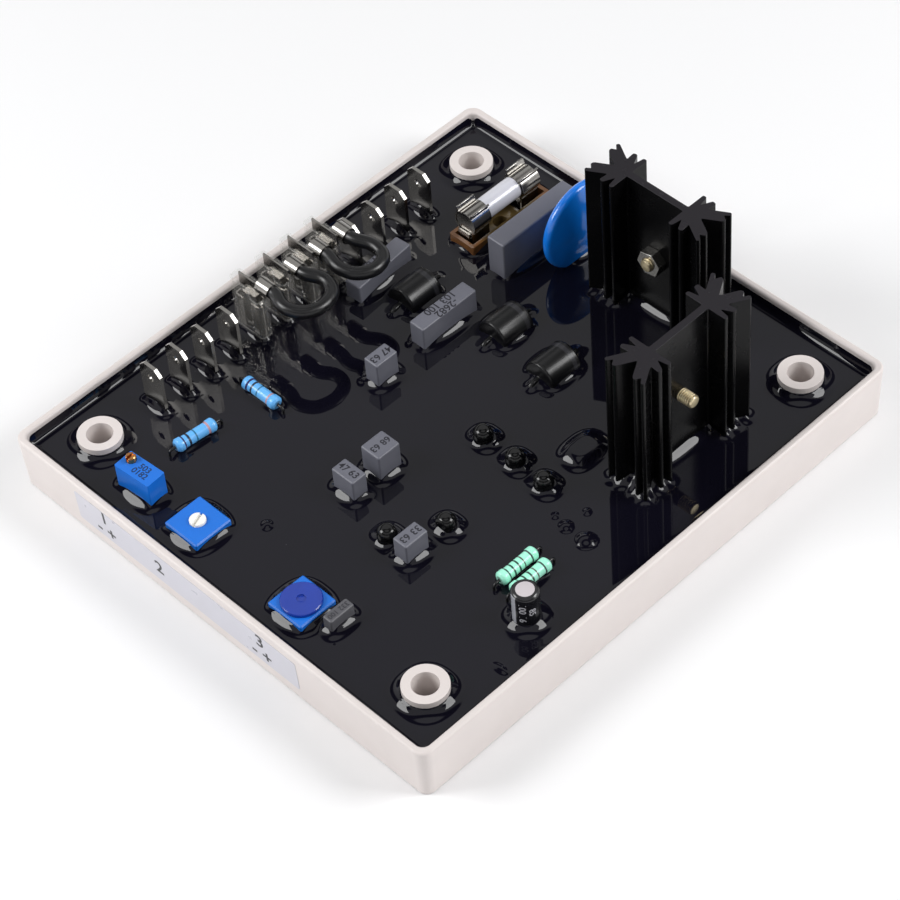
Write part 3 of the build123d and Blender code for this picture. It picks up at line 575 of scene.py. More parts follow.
    @classmethod
    def words(
        cls, name: str, text: str, size: float, turn: Matrix, depth: float = 0.02
    ) -> bpy.types.Object:
        """Raised print: plain numbers or marks as a thin mesh.

        Args:
            name: the piece's name.
            text: the digits or marks.
            size: the height of a line, in millimetres.
            turn: the placing of the print's plane, from local millimetres to metres.
            depth: the print's thickness, in millimetres.

        Returns:
            The new piece.
        """
        bpy.ops.object.select_all(action="DESELECT")
        bpy.ops.object.text_add(location=(0, 0, 0))
        print_ = bpy.context.active_object
        print_.name = name
        print_.data.body = text
        print_.data.size = size
        print_.data.extrude = depth / 2
        print_.data.offset = 0.014 * size
        print_.data.resolution_u = 3
        print_.data.align_x = "CENTER"
        print_.data.align_y = "CENTER"
        print_.data.space_line = 0.8
        bpy.ops.object.convert(target="MESH")
        piece = bpy.context.active_object
        piece.data.transform(turn)
        return piece

    @classmethod
    def finish(
        cls,
        piece: bpy.types.Object,
        finish: Finish,
        node: str | None = None,
        body: str = HOUSING,
        material: str | None = None,
    ) -> bpy.types.Object:
        """Give a piece its material and body, and hide the CAD node it stands for.

        Args:
            piece: the piece.
            finish: its finish.
            node: the CAD node that it replaces, if any.
            body: the body that it rides on.
            material: the material's name, where it isn't the slot's.

        Returns:
            The same piece.
        """
        if not piece.data.materials:
            piece.data.materials.append(cls.material(finish, material))
        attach(piece, body)
        if node:
            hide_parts(node)
        log.info("%s: %d faces", piece.name, len(piece.data.polygons))
        return piece


def stand(origin: Point, across: Point, up: Point) -> Matrix:
    """A placing whose local x and z lie along two given directions.

    Args:
        origin: the local origin, in millimetres.
        across: the direction of local x.
        up: the direction of local z.

    Returns:
        The matrix from local millimetres to metres.
    """
    z_axis = Vector(up).normalized()
    x_axis = (Vector(across) - z_axis * Vector(across).dot(z_axis)).normalized()
    y_axis = z_axis.cross(x_axis)
    turn = Matrix((x_axis, y_axis, z_axis)).transposed().to_4x4()
    return Matrix.Translation(Vector(origin) * MM) @ turn @ Matrix.Scale(MM, 4)


def box_mm(node: str) -> tuple[Vector, Vector]:
    """The lowest and highest corner of a CAD node, in millimetres."""
    low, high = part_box(node)
    return low * TO_MM, high * TO_MM


def middle_mm(node: str) -> Vector:
    """The middle of a CAD node's box, in millimetres."""
    low, high = box_mm(node)
    return (low + high) / 2


@dataclass(frozen=True)
class Foot:
    """The outline of something that stands in the resin: a round-cornered bar.

    Sizes are in millimetres, with the yaw in degrees.
    """

    x: float
    y: float
    half_x: float
    half_y: float
    round: float = 0.0
    yaw: float = 0.0
    climb: float = 1.35
    reach: float = 2.7
    curve: float = 2.0

    def _own(self, x: np.ndarray, y: np.ndarray) -> tuple[np.ndarray, np.ndarray]:
        """How far points lie from the middle, along and across the bar."""
        turn = math.radians(self.yaw)
        dx, dy = x - self.x, y - self.y
        along = np.abs(dx * math.cos(turn) + dy * math.sin(turn))
        return along, np.abs(dy * math.cos(turn) - dx * math.sin(turn))

    def distance(self, x: np.ndarray, y: np.ndarray) -> np.ndarray:
        """How far points lie outside the outline; negative inside it."""
        along, across = self._own(x, y)
        along, across = along - self.half_x + self.round, across - self.half_y + self.round
        outside = np.hypot(np.maximum(along, 0), np.maximum(across, 0))
        return outside + np.minimum(np.maximum(along, across), 0) - self.round

    def wet(self, x: np.ndarray, y: np.ndarray) -> np.ndarray:
        """How high the resin is drawn up at points around the outline.

        It is drawn up in an oval: far out in front of a side, and close in at the corners.
        """
        along, across = self._own(x, y)
        along, across = along / (self.half_x + self.reach), across / (self.half_y + self.reach)
        oval = (along ** OVAL_POWER + across ** OVAL_POWER) ** (1 / OVAL_POWER)
        gap = np.maximum(self.distance(x, y), 0)
        to_rim = np.maximum(1 - oval, 0) * (min(self.half_x, self.half_y) + self.reach)
        width = np.maximum(gap + to_rim, 0.05)
        lift = self.climb * np.minimum(width / self.reach, 1.0)
        return np.where(oval < 1, lift * np.clip(1 - gap / width, 0, 1) ** self.curve, 0.0)


@dataclass(frozen=True)
class Bead:
    """A drop of resin that set on the surface."""

    x: float
    y: float
    radius: float
    height: float
    stretch: float = 1.0

    def rise(self, x: np.ndarray, y: np.ndarray) -> np.ndarray:
        """The drop's height at points on the surface."""
        run = np.hypot((x - self.x) / self.stretch, y - self.y) / self.radius
        return self.height * np.clip(1 - run ** 2, 0, 1) ** 0.7


@dataclass
class ResinPool:
    """The poured resin, drawn up along the walls and round everything that stands in it."""

    half_width: float = 58.25
    half_length: float = 65.25
    cell: float = 1.6
    cuts: int = 3
    margin: float = 3.0
    boss_spots: tuple[Spot, ...] = ((-47.5, -54.0), (-47.5, 54.0), (47.5, -54.0), (47.5, 54.0))
    boss_radius: float = 4.8
    boss_hole: float = 3.9
    first_blade: Spot = (-46.4, -39.6)
    blade_pitch: float = 7.0
    blade_count: int = 12
    wall_climb: float = 2.15
    wall_reach: float = 2.2
    wall_curve: float = 3.0
    feet: list[Foot] = field(default_factory=list)
    beads: tuple[Bead, ...] = (
        Bead(-5.7, -46.2, 1.3, 0.45),
        Bead(35.2, -5.8, 0.8, 0.35),
        Bead(38.8, -6.4, 1.6, 0.6),
        Bead(44.2, -6.4, 2.2, 0.9),
        Bead(39.2, -0.8, 0.9, 0.4),
        Bead(53.8, -40.4, 0.8, 0.3, 2.6),
        Bead(-44.1, -49.2, 1.0, 0.3),
    )

    @staticmethod
    def from_node(node: str, climb: float = 1.35, reach: float = 2.7, corner: float = 0.3) -> Foot:
        """The upright foot of a CAD node, from its box."""
        low, high = box_mm(node)
        middle, half = (low + high) / 2, (high - low) / 2
        return Foot(middle.x, middle.y, half.x, half.y, corner, 0.0, climb, reach)

    @staticmethod
    def under_node(node: str, *shape: float) -> Foot:
        """A foot of its own shape under the middle of a CAD node.

        Args:
            node: the CAD node.
            shape: the foot's half sizes, corner, yaw, climb and reach.

        Returns:
            The foot.
        """
        middle = middle_mm(node)
        return Foot(middle.x, middle.y, *shape)

    def stand_in(self) -> None:
        """Collect the feet of everything that stands in the resin."""
        add = self.feet.append
        boss = self.boss_radius
        for x, y in self.boss_spots:
            add(Foot(x, y, boss, boss, boss, 0.0, 1.45, 2.6))
        x, y = self.first_blade
        for step in range(self.blade_count):
            add(Foot(x, y + self.blade_pitch * step, 3.18, 0.4, 0.1, 0.0, 2.3, 3.4, 4.0))
        for node in ("suppression_capacitor", "voltage_trimmer_body"):
            add(self.from_node(node))
        add(self.from_node("optocoupler", 1.6, 2.8, 0.5))
        add(self.from_node("fuse_holder_base", 2.0, 2.6, 1.0))
        for node in ("stability_trimmer_body", "frequency_trimmer_body"):
            add(self.from_node(node))
        for number in range(2, 8):
            add(self.from_node(f"film_capacitor_{number}"))
        add(Foot(-38.6, 17.0, 2.1, 8.3, 0.4, 4.8))
        for number in range(1, 6):
            add(self.under_node(f"transistor_{number}", 2.4, 1.95, 1.9, 0.0, 1.3, 2.4))
        for number in range(1, 4):
            add(self.under_node(f"rectifier_diode_{number}", 3.9, 4.4, 0.6, 0.0, 1.0, 2.3))
            add(self.under_node(f"rectifier_diode_{number}", 0.65, 7.6, 0.6, 0.0, 1.35, 2.3))
        add(self.under_node("electrolytic_capacitor", 2.9, 2.9, 2.9, 0.0, 1.5, 2.7))
        for node, yaw in RESISTOR_YAWS.items():
            add(self.under_node(node, 5.4, 1.0, 0.9, yaw, 0.5, 1.8))
        add(self.under_node("varistor", 0.9, 4.3, 0.8, 0.0, 1.4, 2.6))
        self._sink("heat_sink_rear", 0.0)
        self._sink("heat_sink_front", 90.0)

    def _sink(self, node: str, yaw: float) -> None:
        """Add the web, the star cores and the fins of a heat sink."""
        middle = middle_mm(node)
        turn = math.radians(yaw)
        fins = ((3.95, 4.75), (3.95, 2.3), (-0.2, 4.8), (-3.2, 4.7))

        def put(spot: Spot, half_x: float, half_y: float, corner: float, angle: float) -> None:
            """Add one bar given in the heat sink's own directions."""
            x = middle.x + spot[0] * math.cos(turn) - spot[1] * math.sin(turn)
            y = middle.y + spot[0] * math.sin(turn) + spot[1] * math.cos(turn)
            self.feet.append(Foot(x, y, half_x, half_y, corner, yaw + angle, 1.5, 2.6))

        put((0, 0), SINK_CORE, 0.8, 0.2, 0)
        for end in (-1, 1):
            for fin_x, fin_y in fins:
                for hand in (-1, 1):
                    angle = math.degrees(math.atan2(hand * fin_y, end * fin_x))
                    spot = (end * (SINK_CORE + fin_x / 2), hand * fin_y / 2)
                    put(spot, math.hypot(fin_x, fin_y) / 2, 0.6, 0.3, angle)
            put((end * (SINK_CORE - 0.6), 0), 2.9, 2.9, 2.5, 0)

    def heights(self, x: np.ndarray, y: np.ndarray) -> np.ndarray:
        """The resin's height over its level at points in the tray."""
        total = np.zeros_like(x)
        for foot in self.feet:
            total += foot.wet(x, y) ** 2
        wall = np.minimum(self.half_width - np.abs(x), self.half_length - np.abs(y))
        wall = np.maximum(wall, 0)
        share = np.clip(1 - wall / self.wall_reach, 0, 1)
        total += (self.wall_climb * share ** self.wall_curve) ** 2
        height = np.sqrt(total)
        for bead in self.beads:
            height = np.maximum(height, bead.rise(x, y))
        return height + 0.03

    def build(self) -> None:
        """Shape the pool from a grid that is finer round every foot."""
        self.stand_in()
        bpy.ops.object.select_all(action="DESELECT")
        columns = round(2 * self.half_width / self.cell)
        rows = round(2 * self.half_length / self.cell)
        bpy.ops.mesh.primitive_grid_add(
            x_subdivisions=columns, y_subdivisions=rows, size=2.0, location=(0, 0, 0)
        )
        pool = bpy.context.active_object
        pool.name = "resin_pool"
        pool.data.transform(Matrix.Diagonal((self.half_width, self.half_length, 1.0, 1.0)))
        self._choose(pool, self._near_something)
        bpy.ops.object.mode_set(mode="EDIT")
        bpy.ops.mesh.subdivide(number_cuts=self.cuts)
        bpy.ops.object.mode_set(mode="OBJECT")
        self._choose(pool, self._open)
        bpy.ops.object.mode_set(mode="EDIT")
        bpy.ops.mesh.delete(type="FACE")
        bpy.ops.object.mode_set(mode="OBJECT")
        points = np.zeros(len(pool.data.vertices) * 3)
        pool.data.vertices.foreach_get("co", points)
        points = points.reshape(-1, 3)
        points[:, 2] = RESIN_LEVEL + self.heights(points[:, 0], points[:, 1])
        pool.data.vertices.foreach_set("co", (points * MM).ravel())
        pool.data.update()
        Bench.pick(pool)
        bpy.ops.object.shade_smooth()
        Bench.finish(pool, FINISHES[Slot.RESIN], "potting_resin")

    def _near_something(self, x: np.ndarray, y: np.ndarray) -> np.ndarray:
        """Whether faces lie close to a foot, a bead or a wall."""
        wall = np.minimum(self.half_width - np.abs(x), self.half_length - np.abs(y))
        near = wall < self.wall_reach + 0.4
        for foot in self.feet:
            gap = foot.distance(x, y)
            near |= (gap < self.margin) & (gap > -1.2)
        for bead in self.beads:
            near |= np.hypot(x - bead.x, y - bead.y) < bead.radius * bead.stretch + 1.2
        return near

    def _open(self, x: np.ndarray, y: np.ndarray) -> np.ndarray:
        """Whether faces lie in a boss's hole or inside the fuse base."""
        inside = np.zeros(x.shape, bool)
        for boss_x, boss_y in self.boss_spots:
            inside |= np.hypot(x - boss_x, y - boss_y) < self.boss_hole
        low, high = box_mm("fuse_holder_base")
        middle, half = (low + high) / 2, (high - low) / 2
        inside |= (np.abs(x - middle.x) < half.x - 0.55) & (np.abs(y - middle.y) < half.y - 0.55)
        return inside

    @staticmethod
    def _choose(
        pool: bpy.types.Object, test: Callable[[np.ndarray, np.ndarray], np.ndarray]
    ) -> None:
        """Select the faces whose centres pass a test."""
        Bench.edit(pool, lambda: bpy.ops.mesh.select_all(action="DESELECT"))
        centres = np.array([face.center for face in pool.data.polygons])
        pool.data.polygons.foreach_set("select", test(centres[:, 0], centres[:, 1]))


@dataclass
class Tray:
    """The moulded tray, its bosses and the sticker on its front wall."""

    marks: tuple[tuple[str, float], ...] = (("1\n- +", -32.0), ("2", -15.5), ("3\n- +", 14.4))
    mark_height: float = 7.2
    mark_size: float = 5.0
    ink: Finish = Finish(Slot.LABEL, (38, 38, 42), 0.4)

    def build(self) -> None:
        """Finish the tray and print its sticker, whose wall leans a little."""
        Bench.plain("tray", Slot.TRAY, 0.35, 3)
        Bench.plain("adjustment_label", Slot.LABEL, 0.0, 0, 0.0)
        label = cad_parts["adjustment_label"].data
        points = np.array([vertex.co[:] for vertex in label.vertices]) * TO_MM
        bottom, top = points[:, 2].min(), points[:, 2].max()
        y_bottom = points[points[:, 2] < bottom + 0.01, 1].min()
        y_top = points[points[:, 2] > top - 0.01, 1].min()
        lean = (y_top - y_bottom) / (top - bottom)
        y = y_bottom + lean * (self.mark_height - bottom) - 0.01
        for number, (text, x) in enumerate(self.marks, 1):
            plane = stand((x, y, self.mark_height), (1, 0, 0), (0, -1, lean))
            print_ = Bench.words(f"label_mark_{number}", text, self.mark_size, plane)
            Bench.finish(print_, self.ink, material="label_ink")


@dataclass
class Terminals:
    """The blade terminals, the push-on receptacles on four of them, and the looped wires."""

    # painted sheen: a paler, less clear rim on the sleeves' rounded edges, standing for the bright
    # grazing look of clear plastic
    edge: Finish = Finish(Slot.SLEEVE, (216, 214, 210), 0.2, smear=0.05, alpha=0.3, grain=0.0)

    def build(self) -> None:
        """Finish the blades, the receptacles with their sleeves, and the wires."""
        Bench.plain("terminal_tabs", Slot.TINNED, 0.1)
        for number in range(1, 5):
            Bench.plain(f"flag_receptacle_{number}", Slot.TINNED, 0.06)
            node = f"receptacle_sleeve_{number}"
            sleeve = Bench.copy(node)
            sleeve.data.materials.append(Bench.material(FINISHES[Slot.SLEEVE]))
            sleeve.data.materials.append(Bench.material(self.edge, "sleeve_edge_sheen"))
            # the rounded edges take the painted sheen material
            Bench.rounded(sleeve, 0.08, 2, edge=1)
            Bench.finish(sleeve, FINISHES[Slot.SLEEVE], node)
        for node in ("jumper_front", "jumper_rear"):
            Bench.plain(node, Slot.WIRE)


@dataclass
class FuseStation:
    """The fuse in its two clips on a moulded base."""

    def build(self) -> None:
        """Finish the base, the clips, the tube and its caps."""
        Bench.plain("fuse_holder_base", Slot.FUSE_BASE, 0.2)
        for node in ("fuse_clip_front", "fuse_clip_rear"):
            Bench.plain(node, Slot.TINNED, 0.07)
        Bench.plain("fuse_tube", Slot.CERAMIC, 0.1)
        Bench.plain("fuse_caps", Slot.TINNED, 0.12)


@dataclass
class BoxedCapacitors:
    """The box-cased capacitors and the plain numbers on their tops."""

    prints: tuple[tuple[str, float], ...] = (
        ("-2682\n104 63", 2.5), ("-2682\n103 100", 2.6), ("47 63", 2.4), ("47 63", 2.3),
        ("68 63", 2.2), ("33 63", 2.3), ("332 100", 1.6),
    )
    dark: int = 7
    turned: int = 4
    ink: Finish = Finish(Slot.DARK_CASE, (34, 34, 42), 0.5)

    def build(self) -> None:
        """Finish each case and print its numbers; the turned one reads the other way."""
        Bench.plain("suppression_capacitor", Slot.GREY_CASE, 0.25, 3)
        for number, (text, size) in enumerate(self.prints, 1):
            node = f"film_capacitor_{number}"
            Bench.plain(node, Slot.DARK_CASE if number == self.dark else Slot.GREY_CASE, 0.25, 3)
            middle = middle_mm(node)
            reading = (1, 0, 0) if number == self.turned else (0, -1, 0)
            top = box_mm(node)[1].z + PRINT_LIFT
            plane = stand((middle.x, middle.y, top), reading, (0, 0, 1))
            print_ = Bench.words(f"{node}_print", text, size, plane)
            Bench.finish(print_, self.ink, material="case_ink")


@dataclass
class HeatSinks:
    """The star-fin heat sinks with the devices, screws and nut that they carry.

    The outline is half of one star, from the web round to the notch opposite it, in millimetres
    from the star's centre.
    """

    corner: float = 0.36
    half_star: tuple[Spot, ...] = (
        (3.65, 0.8), (3.65, 5.3), (2.7, 5.3), (2.25, 2.75), (1.0, 5.3), (0.0, 5.1), (0.2, 2.9),
        (-4.0, 5.3), (-4.5, 4.6), (-3.2, 3.65), (-4.5, 3.0), (-4.25, 2.2), (-0.4, 0.0),
    )
    thread: float = 5.2
    pitch: float = 0.5
    # the thread's warm plating tone is real; its extra lightness over the head's steel is a painted
    # highlight
    bright: Finish = Finish(
        Slot.STEEL, (232, 216, 178), 0.28, metallic=0.8, smear=0.05, grain=0.0
    )

    def outline(self) -> list[Spot]:
        """The closed outline of the whole extrusion, along its web."""
        half, back = list(self.half_star), list(self.half_star[-2::-1])
        core = SINK_CORE
        left = [(x - core, y) for x, y in half] + [(x - core, -y) for x, y in back]
        right = [(core - x, -y) for x, y in half] + [(core - x, y) for x, y in back]
        return left + right

    def extrude(self, node: str, yaw: float) -> None:
        """Draw the outline as a disc's rim and extrude it to the height of a node."""
        low, high = box_mm(node)
        middle = (low + high) / 2
        spots = self.outline()
        bpy.ops.object.select_all(action="DESELECT")
        bpy.ops.mesh.primitive_circle_add(
            vertices=len(spots), radius=1.0, fill_type="NGON", location=(0, 0, 0)
        )
        sink = bpy.context.active_object
        sink.name = f"{node}_extrusion"
        sink.data.vertices.foreach_set("co", [c for x, y in spots for c in (x, y, 0.0)])
        foot = Matrix.Translation((middle.x * MM, middle.y * MM, low.z * MM))
        turn = Matrix.Rotation(math.radians(yaw), 4, "Z")
        sink.data.transform(foot @ turn @ Matrix.Scale(MM, 4))
        rise = (0, 0, (high.z - low.z) * MM)
        Bench.edit(
            sink,
            lambda: bpy.ops.mesh.bevel(
                offset=self.corner * MM, segments=4, affect="VERTICES", clamp_overlap=True
            ),
            lambda: bpy.ops.mesh.select_all(action="SELECT"),
            lambda: bpy.ops.mesh.extrude_region_move(TRANSFORM_OT_translate={"value": rise}),
            lambda: bpy.ops.mesh.select_all(action="SELECT"),
            lambda: bpy.ops.mesh.normals_make_consistent(inside=False),
        )
        Bench.rounded(sink, 0.12, 2, 50.0)
        Bench.finish(sink, FINISHES[Slot.ANODISED], node)

    def build(self) -> None:
        """Shape the extrusions and finish what is clamped to them."""
        self.extrude("heat_sink_rear", 0.0)
        self.extrude("heat_sink_front", 90.0)
        for place in ("rear", "front"):
            Bench.plain(f"power_device_{place}", Slot.EPOXY, 0.15)
        Bench.plain("device_nut_rear", Slot.STEEL, 0.15, 3)
        self._screw("device_screw_rear", (0, -1, 0))
        self._screw("device_screw_front", (1, 0, 0))

    def _screw(self, node: str, out: Point) -> None:
        """Cut the plain tip off a screw and put a threaded one there."""
        low, high = box_mm(node)
        middle = (low + high) / 2
        axis = Vector(out)
        tip = middle + axis * abs((high - low).dot(axis)) / 2
        thread, pitch = self.thread, self.pitch
        start = tip - axis * thread
        head = Bench.copy(node, 0.12)
        Bench.cut(head, start, axis)
        root, crest = 1.22, 1.48
        rings = [(1.2, -0.2)]
        for turn in range(int(thread / pitch)):
            rings.append((root, turn * pitch))
            rings += [(crest, (turn + part) * pitch) for part in (0.4, 0.6)]
        rings += [(1.25, thread - 0.05), (1.05, thread)]
        tip_piece = Bench.turned(f"{node}_thread", rings, stand(tuple(start), (0, 0, 1), out), 32)
        Bench.finish(head, FINISHES[Slot.STEEL], node)
        Bench.finish(tip_piece, self.bright, node, material="screw_thread")


@dataclass
class SmallParts:
    """Rectifiers, transistors, optocoupler, varistor, can and resistors."""

    blue: Colour = (104, 184, 255)
    green: Colour = (170, 255, 222)
    blue_bands: tuple[Stripe, ...] = (
        Stripe(-3.4, -3.0, (40, 30, 90)),
        Stripe(-2.2, -1.7, (30, 40, 60)),
        Stripe(-0.4, -0.05, (40, 110, 150)),
        Stripe(2.6, 3.1, (190, 150, 160)),
    )
    green_bands: tuple[Stripe, ...] = (
        Stripe(-3.3, -2.9, (40, 70, 60)),
        Stripe(-1.9, -1.5, (30, 60, 50)),
        Stripe(-0.5, -0.1, (30, 60, 50)),
        Stripe(0.9, 1.2, (80, 60, 60)),
        Stripe(2.9, 3.2, (60, 70, 70)),
    )
    leads: tuple[Stripe, ...] = (
        Stripe(-12.0, -5.0, (12, 12, 14)),
        Stripe(5.0, 12.0, (12, 12, 14)),
    )
    diode_band: Stripe = Stripe(2.2, 3.3, (46, 46, 50))
    can_prints: tuple[tuple[str, float], ...] = (("100 16", -60.0), ("85", -20.0))
    can_print_middle: float = 15.2
    disc: Finish = Finish(
        Slot.TINNED, (200, 194, 198), 0.4, mottle=0.03, grain=0.02, grain_size=1.0
    )
    can_ink: Finish = Finish(Slot.CAN, (176, 176, 182), 0.4)

    def build(self) -> None:
        """Finish each small component."""
        for number in range(1, 4):
            self._rectifier(f"rectifier_diode_{number}")
        for number in range(1, 6):
            self._transistor(f"transistor_{number}", -1 if number == 5 else 1)
        Bench.plain("optocoupler", Slot.EPOXY, 0.5, 4)
        Bench.plain("varistor", Slot.VARISTOR)
        self._can("electrolytic_capacitor")
        for node in RESISTOR_YAWS:
            if node.startswith("blue"):
                self._resistor(node, Slot.BLUE_RESISTOR, self.blue, self.blue_bands)
            else:
                self._resistor(node, Slot.GREEN_RESISTOR, self.green, self.green_bands)

    def _transistor(self, node: str, side: int) -> None:
        """A D-shaped moulding with a domed top: a turned body, cut flat on its +Y or -Y side."""
        x, y = middle_mm(node).x, box_mm(node)[1].y - 2.4
        rings = [
            (2.25, 8.6), (2.15, 12.3), (2.06, 12.8), (1.84, 13.25), (1.5, 13.63), (1.08, 13.88),
            (0.6, 14.0),
        ]
        turn = stand((x, y, 0.0), (1, 0, 0), (0, 0, 1))
        body = Bench.turned(f"{node}_moulding", rings, turn)
        Bench.cut(body, Vector((x, y + side * 1.45, 0.0)), Vector((0, side, 0)))
        Bench.rounded(body, 0.12, 2, 40.0)
        Bench.finish(body, FINISHES[Slot.EPOXY], node)

    def _rectifier(self, node: str) -> None:
        """A black moulded body with a faint band, its leads wetted by the resin."""
        middle = middle_mm(node)
        finish = StripedFinish(
            Slot.EPOXY, (13, 13, 15), 0.3, specular=0.45, mottle=0.1, smear=0.05,
            centre=(middle.x, middle.y, 0.0), stripes=(self.diode_band,),
        )
        Bench.finish(Bench.copy(node, 0.6, 4), finish, node, material=node)

    def _can(self, node: str) -> None:
        """The small can: a dark sleeve with a pale stripe and numbers, open at its bright top."""
        middle, top = middle_mm(node), box_mm(node)[1].z
        sleeve = CanFinish(
            Slot.CAN, (20, 20, 24), 0.22, mottle=0.06, coat=0.3, centre=(middle.x, middle.y, top)
        )
        Bench.finish(Bench.copy(node, 0.25, 3), sleeve, node, material=node)
        turn = stand((middle.x, middle.y, top - 0.06), (1, 0, 0), (0, 0, 1))
        rings = [(1.95, -0.30), (1.95, 0.0), (1.85, 0.04), (0.1, 0.05)]
        Bench.finish(Bench.turned("can_top", rings, turn), self.disc, material="can_top")
        for number, (text, azimuth) in enumerate(self.can_prints, 1):
            print_ = Bench.words(f"can_print_{number}", text, 2.0, Matrix.Identity(4))
            points = np.zeros(len(print_.data.vertices) * 3)
            print_.data.vertices.foreach_get("co", points)
            along, up, depth = points.reshape(-1, 3).T
            angle = math.radians(azimuth) + up / 2.9
            out = 2.91 + depth
            x, y = middle.x + out * np.cos(angle), middle.y + out * np.sin(angle)
            bent = np.stack([x, y, self.can_print_middle - along], -1)
            print_.data.vertices.foreach_set("co", (bent * MM).ravel())
            Bench.finish(print_, self.can_ink, material="can_ink")

    def _resistor(self, node: str, slot: Slot, colour: Colour, bands: tuple[Stripe, ...]) -> None:
        """A waisted body with painted bands, its leads wetted by the resin."""
        middle = middle_mm(node)
        yaw = math.radians(RESISTOR_YAWS[node])
        finish = StripedFinish(
            slot, colour, 0.3, mottle=0.04, mottle_size=1.5, coat=0.2,
            centre=(middle.x, middle.y, 0.0), direction=(math.cos(yaw), math.sin(yaw), 0.0),
            stripes=bands + self.leads,
        )
        Bench.finish(Bench.copy(node, 0.15), finish, node, material=node)


@dataclass
class Adjusters:
    """The three trimmers with their screw, rotor and knob.

    The print's place is in millimetres, and its yaw in degrees.
    """

    turning: tuple[tuple[str, float, Slot, str], ...] = (
        ("voltage_screw", 0.1, Slot.BRASS, "voltage_adjuster"),
        ("stability_rotor", 0.1, Slot.ROTOR, "stability_adjuster"),
        ("frequency_knob", 0.12, Slot.KNOB, "frequency_adjuster"),
    )
    print_spot: Spot = (-30.2, -56.85)
    print_yaw: float = 4.0
    ink: Finish = Finish(Slot.TRIMMER, (16, 40, 78), 0.5)

    def build(self) -> None:
        """Finish the cases and what turns in them."""
        for name in ("voltage", "stability", "frequency"):
            Bench.plain(f"{name}_trimmer_body", Slot.TRIMMER, 0.2, 3, 0.0)
        for node, radius, slot, body in self.turning:
            Bench.plain(node, slot, radius, 2, 0.0, body=body)
        yaw = math.radians(self.print_yaw)
        top = box_mm("voltage_trimmer_body")[1].z + PRINT_LIFT
        plane = stand((*self.print_spot, top), (math.cos(yaw), math.sin(yaw), 0), (0, 0, 1))
        print_ = Bench.words("voltage_trimmer_print", "503\n0182", 2.0, plane)
        Bench.finish(print_, self.ink, material="trimmer_ink")


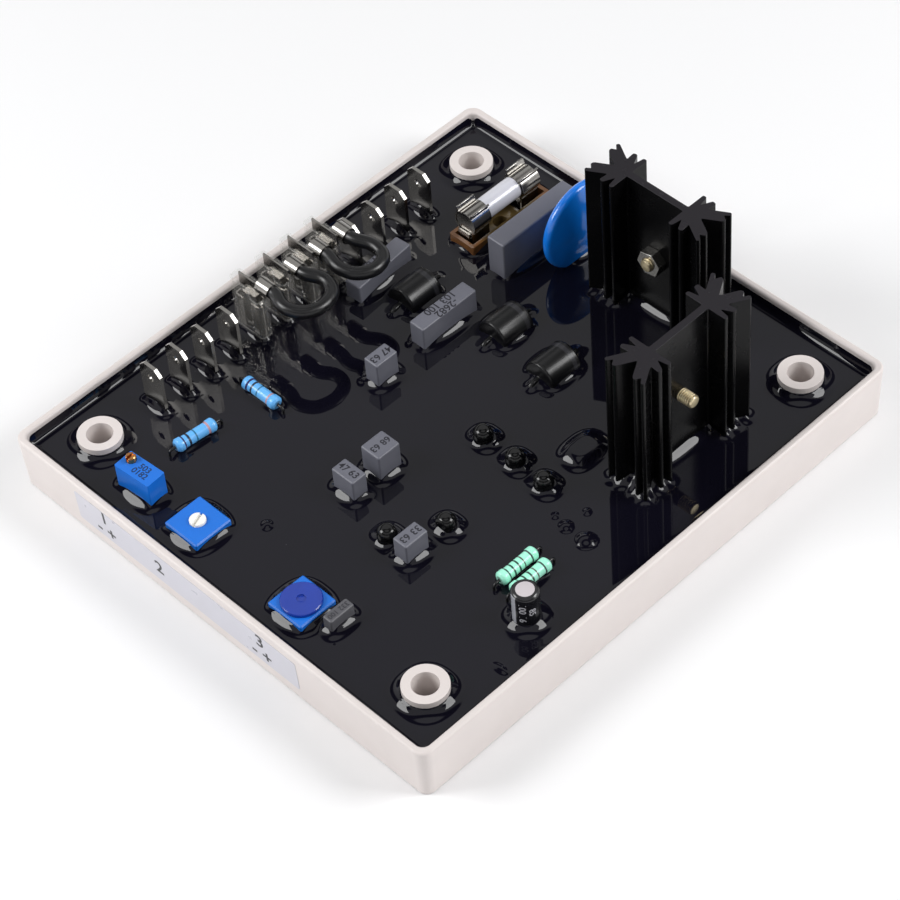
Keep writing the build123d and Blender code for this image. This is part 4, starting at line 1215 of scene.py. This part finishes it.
@dataclass
class Studio:
    """Floor, light and camera.

    The camera repeats the photograph's: its place in millimetres, its directions and its focal
    length in pixels of a 900 pixel frame. The sky is a list of heights, from -1 at the bottom
    to 1 at the top, with their levels of grey. The lamps are given by their directions from
    above, in degrees clockwise from +Y, their elevation in degrees, their distance and side in
    metres and their power in watts.
    """

    place: Point = (321.375, -280.878, 478.208)
    right: Point = (0.7050586, 0.7065694, -0.0604317)
    down: Point = (0.5016082, -0.5571388, -0.6618048)
    ahead: Point = (-0.5012798, 0.4362982, -0.7472365)
    focal: float = 3088.14
    frame_pixels: int = 900
    sky: tuple[tuple[float, float], ...] = (
        (-1.0, 0.82), (0.37, 0.82), (0.43, 0.04), (0.60, 0.04), (0.63, 0.76), (0.85, 0.76),
        (0.87, 0.02), (0.95, 0.02), (0.965, 0.85), (1.0, 0.85),
    )
    backdrop: float = 0.9
    floor_colour: Colour = (240, 240, 241)
    lamps: tuple[tuple[str, float], ...] = (("softbox_left", 218.0), ("softbox_right", 53.0))
    elevation: float = 38.0
    away: float = 0.7
    lamp_size: float = 0.3
    power: float = 2.83

    def build(self) -> None:
        """Set up the whole studio."""
        self._camera()
        self._floor()
        self._world()
        for name, azimuth in self.lamps:
            self._softbox(name, azimuth)

    def _camera(self) -> None:
        """Put the camera where the photograph was taken from."""
        data = bpy.data.cameras.new("camera")
        data.sensor_width = 36.0
        data.lens = self.focal / self.frame_pixels * data.sensor_width
        data.clip_start = 0.01
        data.clip_end = 20.0
        camera = bpy.data.objects.new("camera", data)
        bpy.context.scene.collection.objects.link(camera)
        axes = (Vector(self.right), -Vector(self.down), -Vector(self.ahead))
        turn = Matrix(axes).transposed().to_4x4()
        camera.matrix_world = Matrix.Translation(Vector(self.place) * MM) @ turn
        bpy.context.scene.camera = camera

    def _floor(self) -> None:
        """A plain pale floor."""
        bpy.ops.object.select_all(action="DESELECT")
        bpy.ops.mesh.primitive_plane_add(size=6.0, location=(0, 0, -0.0002))
        floor = bpy.context.active_object
        floor.name = "floor"
        graph = Graph("floor")
        graph.plug(graph.shader.inputs["Base Color"], linear(self.floor_colour))
        graph.shader.inputs["Roughness"].default_value = 0.8
        graph.shader.inputs["Specular IOR Level"].default_value = 0.1
        floor.data.materials.append(graph.material)

    def _world(self) -> None:
        """A pale backdrop, and for reflections a sky with the dark and bright bands of a studio."""
        world = bpy.data.worlds.new("studio")
        bpy.context.scene.world = world
        world.use_nodes = True
        tree = world.node_tree
        coords = tree.nodes.new("ShaderNodeTexCoord")
        split = tree.nodes.new("ShaderNodeSeparateXYZ")
        ramp = tree.nodes.new("ShaderNodeValToRGB")
        shift = tree.nodes.new("ShaderNodeMath")
        shift.operation = "MULTIPLY_ADD"
        shift.inputs[1].default_value = 0.5
        shift.inputs[2].default_value = 0.5
        tree.links.new(coords.outputs["Generated"], split.inputs[0])
        tree.links.new(split.outputs["Z"], shift.inputs[0])
        tree.links.new(shift.outputs[0], ramp.inputs[0])
        stops = ramp.color_ramp.elements
        while len(stops) < len(self.sky):
            stops.new(0.5)
        for stop, (height, level) in zip(stops, self.sky):
            stop.position = height / 2 + 0.5
            stop.color = (level, level, level, 1.0)
        seen = tree.nodes.new("ShaderNodeLightPath")
        choice = tree.nodes.new("ShaderNodeMix")
        choice.data_type = "RGBA"
        choice.inputs[7].default_value = (self.backdrop, self.backdrop, self.backdrop, 1.0)
        tree.links.new(seen.outputs["Is Camera Ray"], choice.inputs[0])
        tree.links.new(ramp.outputs[0], choice.inputs[6])
        tree.links.new(choice.outputs[2], tree.nodes["Background"].inputs["Color"])

    def _softbox(self, name: str, azimuth: float) -> None:
        """A square lamp that looks at the object."""
        data = bpy.data.lights.new(name, "AREA")
        data.shape = "SQUARE"
        data.size = self.lamp_size
        data.energy = self.power
        lamp = bpy.data.objects.new(name, data)
        bpy.context.scene.collection.objects.link(lamp)
        turn, rise = math.radians(azimuth), math.radians(self.elevation)
        level = math.cos(rise)
        ahead = Vector((math.sin(turn) * level, math.cos(turn) * level, math.sin(rise)))
        spot = ahead * self.away
        facing = spot.to_track_quat("Z", "Y").to_matrix().to_4x4()
        lamp.matrix_world = Matrix.Translation(spot) @ facing


def main() -> None:
    """Build the studio and every sub-assembly."""
    logging.basicConfig(level=logging.INFO, format="%(message)s")
    bpy.context.scene.view_settings.view_transform = "Standard"
    for kind in (
        Studio, Tray, ResinPool, Terminals, FuseStation, BoxedCapacitors, HeatSinks, SmallParts,
        Adjusters,
    ):
        log.info("building %s", kind.__name__)
        kind().build()
    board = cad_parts["circuit_board"]
    board.data.materials.clear()
    board.data.materials.append(Bench.material(FINISHES[Slot.BOARD]))


if __name__ == "__main__":
    main()
